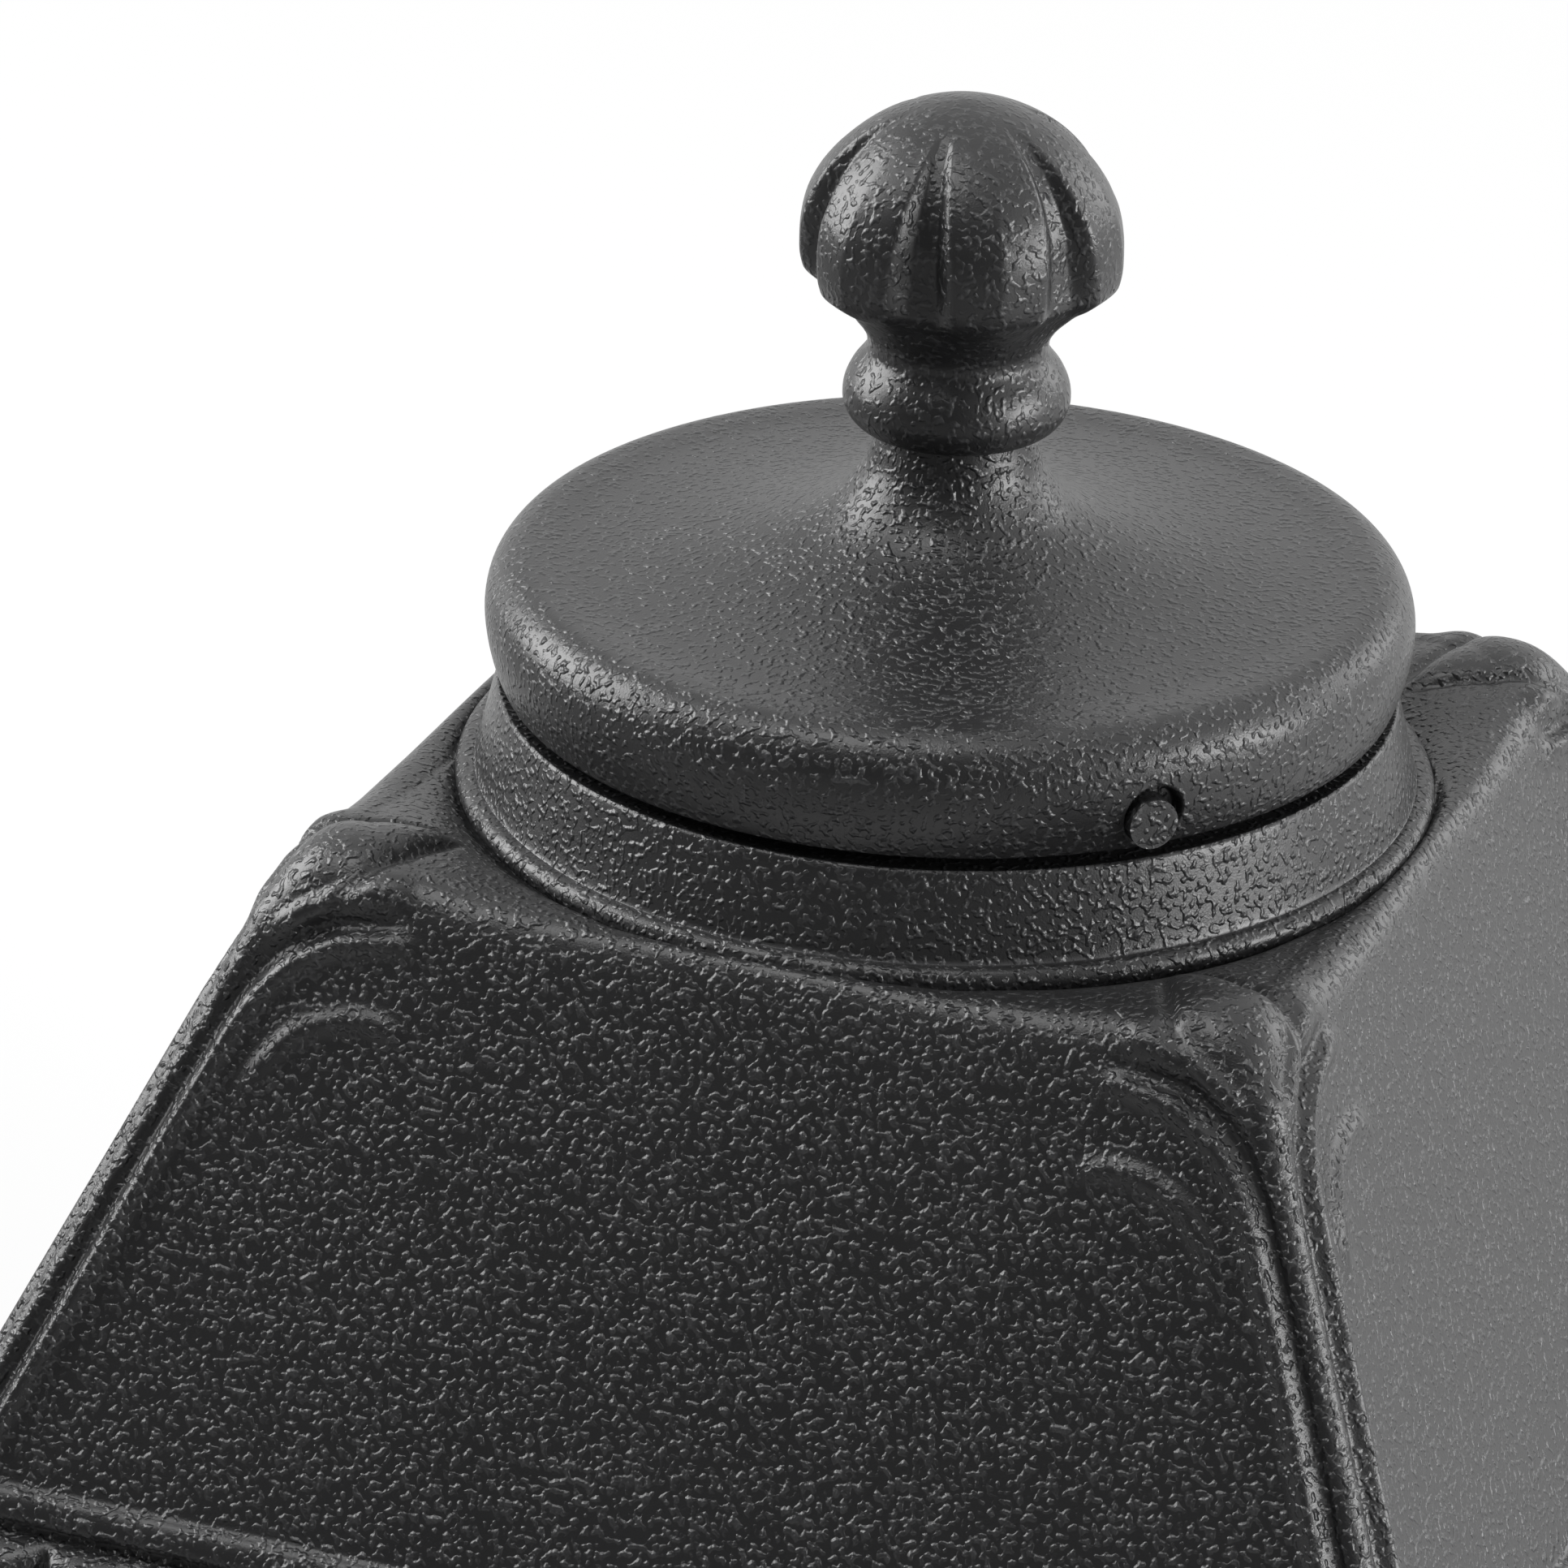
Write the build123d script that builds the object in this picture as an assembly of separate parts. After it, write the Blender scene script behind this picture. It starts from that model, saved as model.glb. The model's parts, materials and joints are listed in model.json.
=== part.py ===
"""Four-sided outdoor lantern on a short pedestal: finial, vent cap, cast roof, glazed cage and foot.

Millimetres, +Z up, origin at the middle of the resting face, roof facets facing X and Y.
"""
import math
import os

from build123d import *

# Fits and clearances
RUN_FIT = 0.05        # radial play of a shaft or screw in its hole
LOOSE = 0.3           # play between pieces that move apart
HEAD_ROUND = 0.45     # rounding of a screw head, in parts of its height

# Pedestal
GASKET_T = 2.0
GASKET_INSET = 1.0
FOOT_R = 58.0
FOOT_EDGE = 3.0       # upright part of the rim
FOOT_ROUND = 4.5      # rounding of the rim's top
FOOT_H = 25.0
FOOT_TOP_R = 21.0
FOOT_TOP_LAND = 3.0
FOOT_CAVITY_R = 39.0
FOOT_CAVITY_EDGE = 4.0
FOOT_CAVITY_TOP_R = 24.0
FOOT_CAVITY_H = 16.0
MOUNT_PCD = 94.0
MOUNT_COUNT = 4
MOUNT_HOLE_R = 2.75
STEM_H = 62.0
STEM_LAND = 4.0       # plain band at each end
STEM_FOOT_R = 19.0
STEM_NECK_R = 10.5
STEM_NECK_IN = 17.4   # each neck's distance from its end of the stem
STEM_KNOP_R = 16.5
STEM_TOP_R = 23.0
STEM_LOW_LEAVE = (-1, 0.2)     # directions in which the stem leaves its lands
STEM_HIGH_LEAVE = (1, 0.35)
TUBE_R = 6.5
TUBE_BORE_R = 4.6
TUBE_BELOW = 7.0
TUBE_GRIP = 8.0
TUBE_NUT_AF = 17.0
TUBE_NUT_T = 4.0
TUBE_WASHER_R = 11.0
TUBE_WASHER_T = 1.2
BUSH_FLANGE_R = 6.5
BUSH_FLANGE_T = 1.2
BUSH_BORE_R = 3.7
BUSH_DEPTH = 5.0

# Terminal block and earth screw under the foot
BLOCK_X, BLOCK_Y, BLOCK_Z = 18.0, 10.0, 8.0
BLOCK_OUT = 15.8
BLOCK_WAYS = 3
BLOCK_HOLE_R = 1.6
EARTH_OUT = 16.0
EARTH_R = 2.0
EARTH_LEN = 5.0
EARTH_HEAD_R = 4.0
EARTH_HEAD_T = 2.5

# Tray that closes the cage below
TRAY_BOWL_H = 15.0
TRAY_BOWL_R = 33.0
TRAY_PLATE_H = 7.0
TRAY_BOWL_LEAVE = (1, 0.25)    # directions of the bowl's side at its foot and top
TRAY_BOWL_REACH = (0.3, 1)
TRAY_LEDGE = 4.5      # tray outside the cage's foot
TRAY_CORNER_R = 4.0
TRAY_EDGE = 1.5

# Cage: four mitred side frames with a pane behind each
CAGE_H = 165.0
CAGE_BASE_HALF = 43.0
CAGE_LEAN = 0.1       # outward for each millimetre upward
FRAME_T = 4.5
STILE_W = 11.0
RAIL_W = 14.0
PANE_T = 3.0
PANE_LAP = 3.0
CLIP_W = 9.0
CLIP_T = 1.2
CLIP_FOOT = 7.0
CLIP_LAP = 2.5
CLIP_PLAY = 0.4
CLIP_SPREAD = 20.0    # clips stand this far each side of the middle
CLIP_SCREW_R = 1.25
CLIP_BITE = 3.0
CLIP_HEAD_R = 2.4
CLIP_HEAD_T = 1.5

# Ring under the roof and the screws that join roof, ring, frames and tray
RING_T = 5.0
RING_W = 17.5
RING_LEDGE = 1.0      # ring outside the cage's top
EAVES_LAP = 4.0
EAVES_OVERHANG = 7.21  # roof outside the cage's top
FRAME_SCREW_R = 1.25
FRAME_SCREW_BITE = 9.0
FRAME_HEAD_R = 2.4
FRAME_HEAD_T = 1.8
ROOF_SCREW_R = 2.0
ROOF_SCREW_BITE = 7.0
ROOF_SCREW_IN = 12.0  # corner screws inside the ring's outer edge
ROOF_HEAD_R = 3.6
ROOF_HEAD_T = 2.2
LUG_SIZE = 14.0
LUG_H = 9.0

# Roof casting, drops measured down from the widest circle of the cap
ROOF_DROP = 74.0
SHOULDER_DROP = 12.2
SHOULDER_HALF = 38.9
SHOULDER_FILLET = 1.5
HIP_R = 1.6
ROOF_WALL = 2.8
COLLAR_TOP_R = 35.0
COLLAR_TOP_DROP = 6.3
COLLAR_ROOT_R = 36.9
COLLAR_ROOT_DROP = 13.3
BEAD_R = 1.15
BEAD_RING_R = 37.1
BEAD_DROP = 14.2
DISH_R = 38.3
DISH_DROP = 14.9
DISH_RIM_R = 52.0     # where the dish levels out, at the shoulder's height
NECK_R = 31.0
NECK_BORE_R = 28.4
NECK_TOP_DROP = 1.0
NECK_VENT_W = 12.0
NECK_VENT_H = 3.4

# Raised ornament of each roof facet, in the facet's own plane
RIDGE_R = 1.1         # roundness of a ridge
RIDGE_H = 0.7         # how far it stands proud
RIDGE_INSET = 3.7     # middle of the ridge to the hip, square to it
HOOK_R = 16.0
HOOK_TOP_DROP = 16.7
HOOK_END = 26.5       # from the facet's middle
BAR_W = 2.4
BAR_H = 0.8
BAR_ROOT = 0.9        # how deep the bar is rooted in the casting
BAR_INSET = 1.1
BAR_TOP_DROP = 13.6
BAR_END = 27.0
CROOK_TAIL = 0.6      # least straight run at the end of a crook
BALL_PROUD = 0.06     # rounded ends stand this much over their ridge
ARC_R = 7.2
ARC_CENTRE_U = 31.3
ARC_CENTRE_DROP = 28.9
ARC_FROM = -5.0
ARC_SWEEP = 150.0

# Pointed leaf over each hip, along the diagonal
LEAF_TIP_R = 39.2
LEAF_TIP_DROP = 14.3
LEAF_CROWN_R = 47.5
LEAF_CROWN_DROP = 10.9
LEAF_TOE_R = 57.4
LEAF_TOE_DROP = 17.6
LEAF_TIP_W = 0.8
LEAF_CROWN_W = 7.6
LEAF_TOE_W = 4.4
LEAF_ROOT = 1.6       # depth of the leaf's rounded body

# Border round the eaves
BAND_TOP_DROP = 58.9
BAND_H = 2.2
BAND_PROUD = 0.8
FRIEZE_TOP_DROP = 62.0
FRIEZE_H = 8.4
LOBE_PITCH = 7.4
LOBE_R = 3.4
LOBE_PROUD = 1.6
LIP_PROUD = 1.0

# Vent cap, heights measured up from its widest circle
CAP_R = 36.0
CAP_CREST_R = 31.8
CAP_CREST_H = 4.3
CAP_SHOULDER_R = 34.75
CAP_SHOULDER_H = 3.0
CAP_SKIRT_R = 34.8
CAP_SKIRT_DROP = 5.4
CAP_SKIRT_BORE_R = 32.4
CAP_NECK_R = 6.0
CAP_NECK_H = 15.3
CAP_BELL_R = 9.6
CAP_BELL_H = 8.6
CAP_NECK_LEAVE = (0.12, -1)    # directions of the bell at its neck and crest
CAP_CREST_REACH = (1, -0.03)
CAP_SKIRT_LEAVE = (0, -1)      # directions of the skirt at its top and edge
CAP_SKIRT_REACH = (-0.5, -1)
CAP_CEILING_R = 9.0
CAP_CEILING_H = 4.5
CAP_EAVE_CEILING_H = 0.8
SCREW_COUNT = 2
SCREW_FROM = -45.0    # the first screw faces the corner between +X and -Y
SCREW_R = 1.95
SCREW_HOLE_R = 2.15
SCREW_DROP = 2.9
SCREW_PROUD = 0.5

# Finial and its stud, heights measured up from the widest circle of the cap
FINIAL_FOOT_R = 7.2
FINIAL_BEAD_R = 8.75
FINIAL_BEAD_H = 17.8
FINIAL_NECK_R = 6.9
FINIAL_NECK_H = 21.9
FINIAL_FOOT_LEAVE = (1, 0.25)  # directions of the bead at its foot and top, and of the neck's start and end
FINIAL_BEAD_REACH = (-1, 0.35)
FINIAL_NECK_LEAVE = (-0.3, 1)
FINIAL_DOME_REACH = (0, 1)
DOME_R = 12.4
DOME_H = 29.8
DOME_MID_R = 10.3     # half way up the dome
DOME_TOP_H = 41.0
FLUTE_COUNT = 6
FLUTE_W = 6.2         # across a flute at the dome's widest circle
FLUTE_DEPTH = 1.6
FLUTE_MID_DEPTH = 1.2
FLUTE_TOP_R = 3.0
FLUTE_TOP_W = 1.9
FLUTE_RUNOUT = 0.3    # the flutes' floor meets the dome this much short of its crown
FLUTE_TURN = 4.5      # first flute, from -Y towards +X
STUD_R = 3.0
STUD_GRIP = 11.0
STUD_BELOW = 1.5
STUD_NUT_AF = 10.0
STUD_NUT_T = 5.0
STUD_WASHER_R = 7.0
STUD_WASHER_T = 1.2

# Lampholder and lamp
HOLDER_FOOT_R = 13.0
HOLDER_FOOT_H = 11.0
HOLDER_R = 18.5
HOLDER_WAIST_IN = 1.5  # the waist is this much slimmer than the rim
HOLDER_FLARE_H = 4.0
HOLDER_RIM_H = 14.0
HOLDER_H = 44.0
HOLDER_BORE_R = 13.6
HOLDER_FLOOR_H = 17.0
LAMP_CAP_R = 13.2
LAMP_CAP_H = 23.0
LAMP_CONTACT_R = 4.5
LAMP_CONTACT_H = 4.0
GLOBE_R = 22.5
GLOBE_NECK_R = 12.0
GLOBE_NECK_H = 7.0

# Heights that follow from the stack
FOOT_Z = GASKET_T
FOOT_CEILING_Z = FOOT_Z + FOOT_CAVITY_H
STEM_Z = FOOT_Z + FOOT_H
TRAY_Z = STEM_Z + STEM_H
PLATE_Z = TRAY_Z + TRAY_BOWL_H
CAGE_Z = PLATE_Z + TRAY_PLATE_H
RING_Z = CAGE_Z + CAGE_H
ROOF_SEAT_Z = RING_Z + RING_T
EAVES_Z = ROOF_SEAT_Z - EAVES_LAP
RIM_Z = EAVES_Z + ROOF_DROP
HOLDER_Z = CAGE_Z + TUBE_WASHER_T + TUBE_NUT_T
HOLDER_FLOOR_Z = HOLDER_Z + HOLDER_FLOOR_H
FINIAL_Z = RIM_Z + CAP_NECK_H

# Widths that follow from the cage
TRAY_HALF = CAGE_BASE_HALF + TRAY_LEDGE
CAGE_TOP_HALF = CAGE_BASE_HALF + CAGE_LEAN * CAGE_H
RING_HALF = CAGE_TOP_HALF + RING_LEDGE
RING_OPEN_HALF = RING_HALF - RING_W
ROOF_SCREW_AT = RING_HALF - ROOF_SCREW_IN
EAVES_HALF = CAGE_TOP_HALF + EAVES_OVERHANG
ROOF_SLOPE = (EAVES_HALF - SHOULDER_HALF) / (ROOF_DROP - SHOULDER_DROP)
FACET_STRETCH = math.hypot(1, ROOF_SLOPE)
FRAME_STRETCH = math.hypot(1, CAGE_LEAN)


def turned(outline):
    """Solid of revolution about Z from a closed outline drawn as (radius, height)."""
    return revolve(Plane.XZ * make_face(outline), Axis.Z)


def ring(outer, inner, z, height):
    """Upright ring standing on height z."""
    return extrude(Pos(0, 0, z) * (Circle(outer) - Circle(inner)), height)


def disc(radius, z, height):
    """Upright cylinder standing on height z."""
    return extrude(Pos(0, 0, z) * Circle(radius), height)


def hex_nut(across, bore, z, height):
    """Hexagon nut about Z standing on height z."""
    face = RegularPolygon(across / 2, 6, major_radius=False) - Circle(bore)
    return extrude(Pos(0, 0, z) * face, height)


def screw(radius, shank, head_r, head_t):
    """Round-headed screw about Z, head above the origin and shank below."""
    head = disc(head_r, 0, head_t)
    head = fillet(head.edges().sort_by(Axis.Z)[-1], HEAD_ROUND * head_t)
    return head + disc(radius, -shank, shank)


def frustum(half_low, z_low, half_high, z_high):
    """Square frustum between two heights."""
    low = Pos(0, 0, z_low) * Rectangle(2 * half_low, 2 * half_low)
    high = Pos(0, 0, z_high) * Rectangle(2 * half_high, 2 * half_high)
    return loft([low, high], ruled=True)


def rounded_frustum(half_low, z_low, half_high, z_high, corner):
    """Square frustum between two heights with rounded corners."""
    low = Pos(0, 0, z_low) * RectangleRounded(2 * half_low, 2 * half_low, corner)
    high = Pos(0, 0, z_high) * RectangleRounded(2 * half_high, 2 * half_high, corner)
    return loft([low, high], ruled=True)


def quarter_turns(shape):
    """The four copies of a shape about Z."""
    return [Rot(0, 0, 90 * i) * shape for i in range(4)]


def evenly(shape, count, start):
    """Copies of a shape spread evenly about Z."""
    return [Rot(0, 0, start + 360 / count * i) * shape for i in range(count)]


def group(shapes):
    """Separate like solids kept together in one node."""
    return Compound(children=[solid for shape in shapes for solid in shape.solids()])


# Pedestal

def mount_holes(z, height):
    hole = Pos(MOUNT_PCD / 2, 0, 0) * disc(MOUNT_HOLE_R, z, height)
    return evenly(hole, MOUNT_COUNT, 180 / MOUNT_COUNT)


def make_foot_gasket():
    return ring(FOOT_R - GASKET_INSET, FOOT_CAVITY_R, 0, GASKET_T) - mount_holes(0, GASKET_T)


def make_foot():
    bore = TUBE_R + RUN_FIT
    rim = (FOOT_R, FOOT_Z + FOOT_EDGE)
    brim = (FOOT_R - FOOT_ROUND, FOOT_Z + FOOT_EDGE + FOOT_ROUND)
    throat = (FOOT_TOP_R, STEM_Z - FOOT_TOP_LAND)
    outline = [
        Polyline((bore, FOOT_CEILING_Z), (bore, STEM_Z), (FOOT_TOP_R, STEM_Z), throat),
        Spline(throat, brim, tangents=[(0, -1), (1, 0)]),
        RadiusArc(brim, rim, FOOT_ROUND),
        Polyline(
            rim, (FOOT_R, FOOT_Z), (FOOT_CAVITY_R, FOOT_Z),
            (FOOT_CAVITY_R, FOOT_Z + FOOT_CAVITY_EDGE), (FOOT_CAVITY_TOP_R, FOOT_CEILING_Z),
            (bore, FOOT_CEILING_Z),
        ),
    ]
    earth_hole = Pos(-EARTH_OUT, 0, 0) * disc(EARTH_R + RUN_FIT, FOOT_CEILING_Z, EARTH_LEN)
    return turned(outline) - mount_holes(FOOT_Z, FOOT_H) - earth_hole


def make_stem():
    bore = TUBE_R + RUN_FIT
    knop_z = (STEM_Z + TRAY_Z) / 2
    low_neck_z = STEM_Z + STEM_NECK_IN
    high_neck_z = TRAY_Z - STEM_NECK_IN
    low_land = (STEM_FOOT_R, STEM_Z + STEM_LAND)
    high_land = (STEM_TOP_R, TRAY_Z - STEM_LAND)
    outline = [
        Polyline((bore, TRAY_Z), (bore, STEM_Z), (STEM_FOOT_R, STEM_Z), low_land),
        Spline(
            low_land, (STEM_NECK_R, low_neck_z), (STEM_KNOP_R, knop_z), (STEM_NECK_R, high_neck_z), high_land,
            tangents=[STEM_LOW_LEAVE, STEM_HIGH_LEAVE],
        ),
        Polyline(high_land, (STEM_TOP_R, TRAY_Z), (bore, TRAY_Z)),
    ]
    return turned(outline)


def make_tie_tube():
    low = FOOT_CEILING_Z - TUBE_BELOW
    return ring(TUBE_R, TUBE_BORE_R, low, HOLDER_Z + TUBE_GRIP - low)


def make_tube_nuts():
    bore = TUBE_R + RUN_FIT
    low = hex_nut(TUBE_NUT_AF, bore, FOOT_CEILING_Z - TUBE_NUT_T, TUBE_NUT_T)
    high = hex_nut(TUBE_NUT_AF, bore, CAGE_Z + TUBE_WASHER_T, TUBE_NUT_T)
    return group([low, high])


def make_tube_washer():
    return ring(TUBE_WASHER_R, TUBE_R + RUN_FIT, CAGE_Z, TUBE_WASHER_T)


def make_cable_bush():
    low = FOOT_CEILING_Z - TUBE_BELOW
    sleeve = disc(TUBE_BORE_R - RUN_FIT, low, BUSH_DEPTH)
    flange = disc(BUSH_FLANGE_R, low - BUSH_FLANGE_T, BUSH_FLANGE_T)
    return sleeve + flange - disc(BUSH_BORE_R, low - BUSH_FLANGE_T, BUSH_DEPTH + BUSH_FLANGE_T)


def make_terminal_block():
    body = Pos(0, BLOCK_OUT, FOOT_CEILING_Z - BLOCK_Z / 2) * Box(BLOCK_X, BLOCK_Y, BLOCK_Z)
    pitch = BLOCK_X / BLOCK_WAYS
    for way in range(BLOCK_WAYS):
        x = (way - (BLOCK_WAYS - 1) / 2) * pitch
        bore = Rot(90, 0, 0) * Cylinder(BLOCK_HOLE_R, 2 * BLOCK_Y)
        body -= Pos(x, BLOCK_OUT, FOOT_CEILING_Z - BLOCK_Z / 2) * bore
    return body


def make_earth_screw():
    return Pos(-EARTH_OUT, 0, FOOT_CEILING_Z) * Rot(180, 0, 0) * screw(
        EARTH_R, EARTH_LEN, EARTH_HEAD_R, EARTH_HEAD_T)


# Tray

def cage_half(z):
    """Half width across the outside of the side frames at a height."""
    return CAGE_BASE_HALF + CAGE_LEAN * (z - CAGE_Z)


def frame_screw_out(z):
    """Distance from the axis of the middle of a side frame's wall at a height."""
    return cage_half(z) - FRAME_T / 2


def make_tray():
    bore = TUBE_R + RUN_FIT
    outline = [
        Polyline((bore, PLATE_Z), (bore, TRAY_Z), (STEM_TOP_R, TRAY_Z)),
        Spline((STEM_TOP_R, TRAY_Z), (TRAY_BOWL_R, PLATE_Z), tangents=[TRAY_BOWL_LEAVE, TRAY_BOWL_REACH]),
        Line((TRAY_BOWL_R, PLATE_Z), (bore, PLATE_Z)),
    ]
    plate = extrude(
        Pos(0, 0, PLATE_Z) * RectangleRounded(2 * TRAY_HALF, 2 * TRAY_HALF, TRAY_CORNER_R), TRAY_PLATE_H)
    plate = fillet(plate.faces().sort_by(Axis.Z)[-1].edges(), TRAY_EDGE)
    hole = Pos(0, -frame_screw_out(CAGE_Z), 0) * disc(FRAME_SCREW_R + RUN_FIT, PLATE_Z, TRAY_PLATE_H)
    return turned(outline) + plate - disc(bore, PLATE_Z, TRAY_PLATE_H) - quarter_turns(hole)


def make_tray_screws():
    one = screw(FRAME_SCREW_R, TRAY_PLATE_H + FRAME_SCREW_BITE, FRAME_HEAD_R, FRAME_HEAD_T)
    one = Pos(0, -frame_screw_out(CAGE_Z), PLATE_Z) * Rot(180, 0, 0) * one
    return group(quarter_turns(one))


# Cage

def frame_plane():
    """Inner face of the front side frame: x across, y up the slope, z into the cage."""
    return Plane(
        origin=(0, -(CAGE_BASE_HALF - FRAME_T), CAGE_Z), x_dir=(-1, 0, 0), z_dir=(0, 1, CAGE_LEAN))


def window(lap):
    """Trapezoid of the window in the frame's plane, grown by a lap."""
    low = RAIL_W - lap
    high = FRAME_STRETCH * CAGE_H - RAIL_W + lap
    half_low = CAGE_BASE_HALF + CAGE_LEAN * low / FRAME_STRETCH - STILE_W + lap
    half_high = CAGE_BASE_HALF + CAGE_LEAN * high / FRAME_STRETCH - STILE_W + lap
    return make_face(Polyline(
        (-half_low, low), (half_low, low), (half_high, high), (-half_high, high), close=True))


def clip_spots():
    """Middle of each clip's screw in the frame's plane, with the way to the pane."""
    low = RAIL_W - PANE_LAP - CLIP_PLAY - CLIP_FOOT / 2
    high = FRAME_STRETCH * CAGE_H - low
    return [(x, y, way) for y, way in ((low, 1), (high, -1)) for x in (-CLIP_SPREAD, CLIP_SPREAD)]


def make_front_frame():
    wall = frustum(cage_half(CAGE_Z), CAGE_Z, cage_half(RING_Z), RING_Z)
    wall -= frustum(cage_half(CAGE_Z) - FRAME_T, CAGE_Z, cage_half(RING_Z) - FRAME_T, RING_Z)
    reach = 2 * cage_half(RING_Z)
    quarter = make_face(Polyline((0, 0), (-reach, -reach), (reach, -reach), close=True))
    side = wall & extrude(Pos(0, 0, CAGE_Z) * quarter, CAGE_H)
    side -= extrude(frame_plane() * window(0), FRAME_T, both=True)
    for x, y, _ in clip_spots():
        side -= frame_plane() * Pos(x, y, -CLIP_BITE / 2) * Cylinder(CLIP_SCREW_R + RUN_FIT, CLIP_BITE)
    for end_z, hole_z in ((CAGE_Z, CAGE_Z), (RING_Z, RING_Z - FRAME_SCREW_BITE)):
        hole = disc(FRAME_SCREW_R + RUN_FIT, hole_z, FRAME_SCREW_BITE)
        side -= Pos(0, -frame_screw_out(end_z), 0) * hole
    return side


def make_front_pane():
    return extrude(frame_plane() * window(PANE_LAP), PANE_T)


def make_pane_clips():
    foot = Pos(0, 0, PANE_T / 2) * Box(CLIP_W, CLIP_FOOT, PANE_T)
    tongue = CLIP_FOOT + CLIP_PLAY + CLIP_LAP
    plate = Pos(0, (tongue - CLIP_FOOT) / 2, PANE_T + CLIP_T / 2) * Box(CLIP_W, tongue, CLIP_T)
    clip = foot + plate - disc(CLIP_SCREW_R + RUN_FIT, 0, PANE_T + CLIP_T)
    row = [frame_plane() * Pos(x, y, 0) * Rot(0, 0, 0 if way > 0 else 180) * clip
           for x, y, way in clip_spots()]
    return group([copy for one in row for copy in quarter_turns(one)])


def make_clip_screws():
    one = screw(CLIP_SCREW_R, PANE_T + CLIP_T + CLIP_BITE, CLIP_HEAD_R, CLIP_HEAD_T)
    row = [frame_plane() * Pos(x, y, PANE_T + CLIP_T) * one for x, y, _ in clip_spots()]
    return group([copy for item in row for copy in quarter_turns(item)])


def make_top_ring():
    outline = Rectangle(2 * RING_HALF, 2 * RING_HALF) - Rectangle(2 * RING_OPEN_HALF, 2 * RING_OPEN_HALF)
    body = extrude(Pos(0, 0, RING_Z) * outline, RING_T)
    hole = Pos(0, -frame_screw_out(RING_Z), 0) * disc(FRAME_SCREW_R + RUN_FIT, RING_Z, RING_T)
    corner = Pos(ROOF_SCREW_AT, -ROOF_SCREW_AT, 0) * disc(ROOF_SCREW_R + RUN_FIT, RING_Z, RING_T)
    return body - quarter_turns(hole) - quarter_turns(corner)


def make_ring_screws():
    one = screw(FRAME_SCREW_R, RING_T + FRAME_SCREW_BITE, FRAME_HEAD_R, FRAME_HEAD_T)
    return group(quarter_turns(Pos(0, -frame_screw_out(RING_Z), ROOF_SEAT_Z) * one))


def make_roof_screws():
    one = screw(ROOF_SCREW_R, RING_T + ROOF_SCREW_BITE, ROOF_HEAD_R, ROOF_HEAD_T)
    one = Pos(ROOF_SCREW_AT, -ROOF_SCREW_AT, RING_Z) * Rot(180, 0, 0) * one
    return group(quarter_turns(one))


# Roof

def roof_half(drop):
    """Half width across the roof facets at a drop below the cap's widest circle."""
    return SHOULDER_HALF + ROOF_SLOPE * (drop - SHOULDER_DROP)


def facet_plane():
    """Front facet at the top of the band: x to the right, y up the slope, z outward."""
    return Plane(
        origin=(0, -roof_half(BAND_TOP_DROP), RIM_Z - BAND_TOP_DROP),
        x_dir=(1, 0, 0), z_dir=(0, -1, ROOF_SLOPE))


def facet_up(drop):
    """Distance up the facet from the top of the band."""
    return (BAND_TOP_DROP - drop) * FACET_STRETCH


def beside_hip(inset, up):
    """Distance from the facet's middle to a line kept an inset inside the hip."""
    hip = roof_half(BAND_TOP_DROP) - ROOF_SLOPE * up / FACET_STRETCH
    return hip - inset * math.hypot(FACET_STRETCH, ROOF_SLOPE) / FACET_STRETCH


def crook(inset, top_drop, end, radius):
    """Bend beside the hip that turns over at the top like a shepherd's crook, and where it starts."""
    heading = math.atan2(FACET_STRETCH, -ROOF_SLOPE)
    centre_up = facet_up(top_drop) - radius
    centre_u = beside_hip(inset + radius, centre_up)

    def on_arc(angle):
        return (centre_u + radius * math.sin(angle), centre_up - radius * math.cos(angle))

    start = on_arc(heading)
    apex = on_arc(math.pi)
    tail = (min(end, apex[0] - CROOK_TAIL), apex[1])
    return start, [ThreePointArc(start, on_arc((heading + math.pi) / 2), apex), Line(apex, tail)]


def rounded_ridge(lines, radius, height):
    """Rounded ridge with round ends that stands proud along lines drawn on the front facet."""
    path = Wire((facet_plane().offset(height - radius) * Curve(lines)).edges())
    ridge = sweep(Plane(origin=path @ 0, z_dir=path % 0) * Circle(radius), path=path)
    ball = Sphere(radius + BALL_PROUD)
    return ridge.fuse(Pos(*(path @ 0)) * ball, Pos(*(path @ 1)) * ball)


def facet_ornament():
    """Raised lines of the front facet's right half: crook of the hip bar, hooked ridge and inner arc."""
    bar_radius = HOOK_R + RIDGE_INSET - BAR_INSET
    _, bar = crook(BAR_INSET, BAR_TOP_DROP, BAR_END, bar_radius)
    hook_start, hook = crook(RIDGE_INSET, HOOK_TOP_DROP, HOOK_END, HOOK_R)
    shaft = Line((beside_hip(RIDGE_INSET, 0), 0), hook_start)
    arc = CenterArc((ARC_CENTRE_U, facet_up(ARC_CENTRE_DROP)), ARC_R, ARC_FROM, ARC_SWEEP)
    return [
        extrude(facet_plane().offset(-BAR_ROOT) * trace(bar, BAR_W), BAR_ROOT + BAR_H),
        rounded_ridge([shaft] + hook, RIDGE_R, RIDGE_H),
        rounded_ridge([arc], RIDGE_R, RIDGE_H),
    ]


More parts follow.
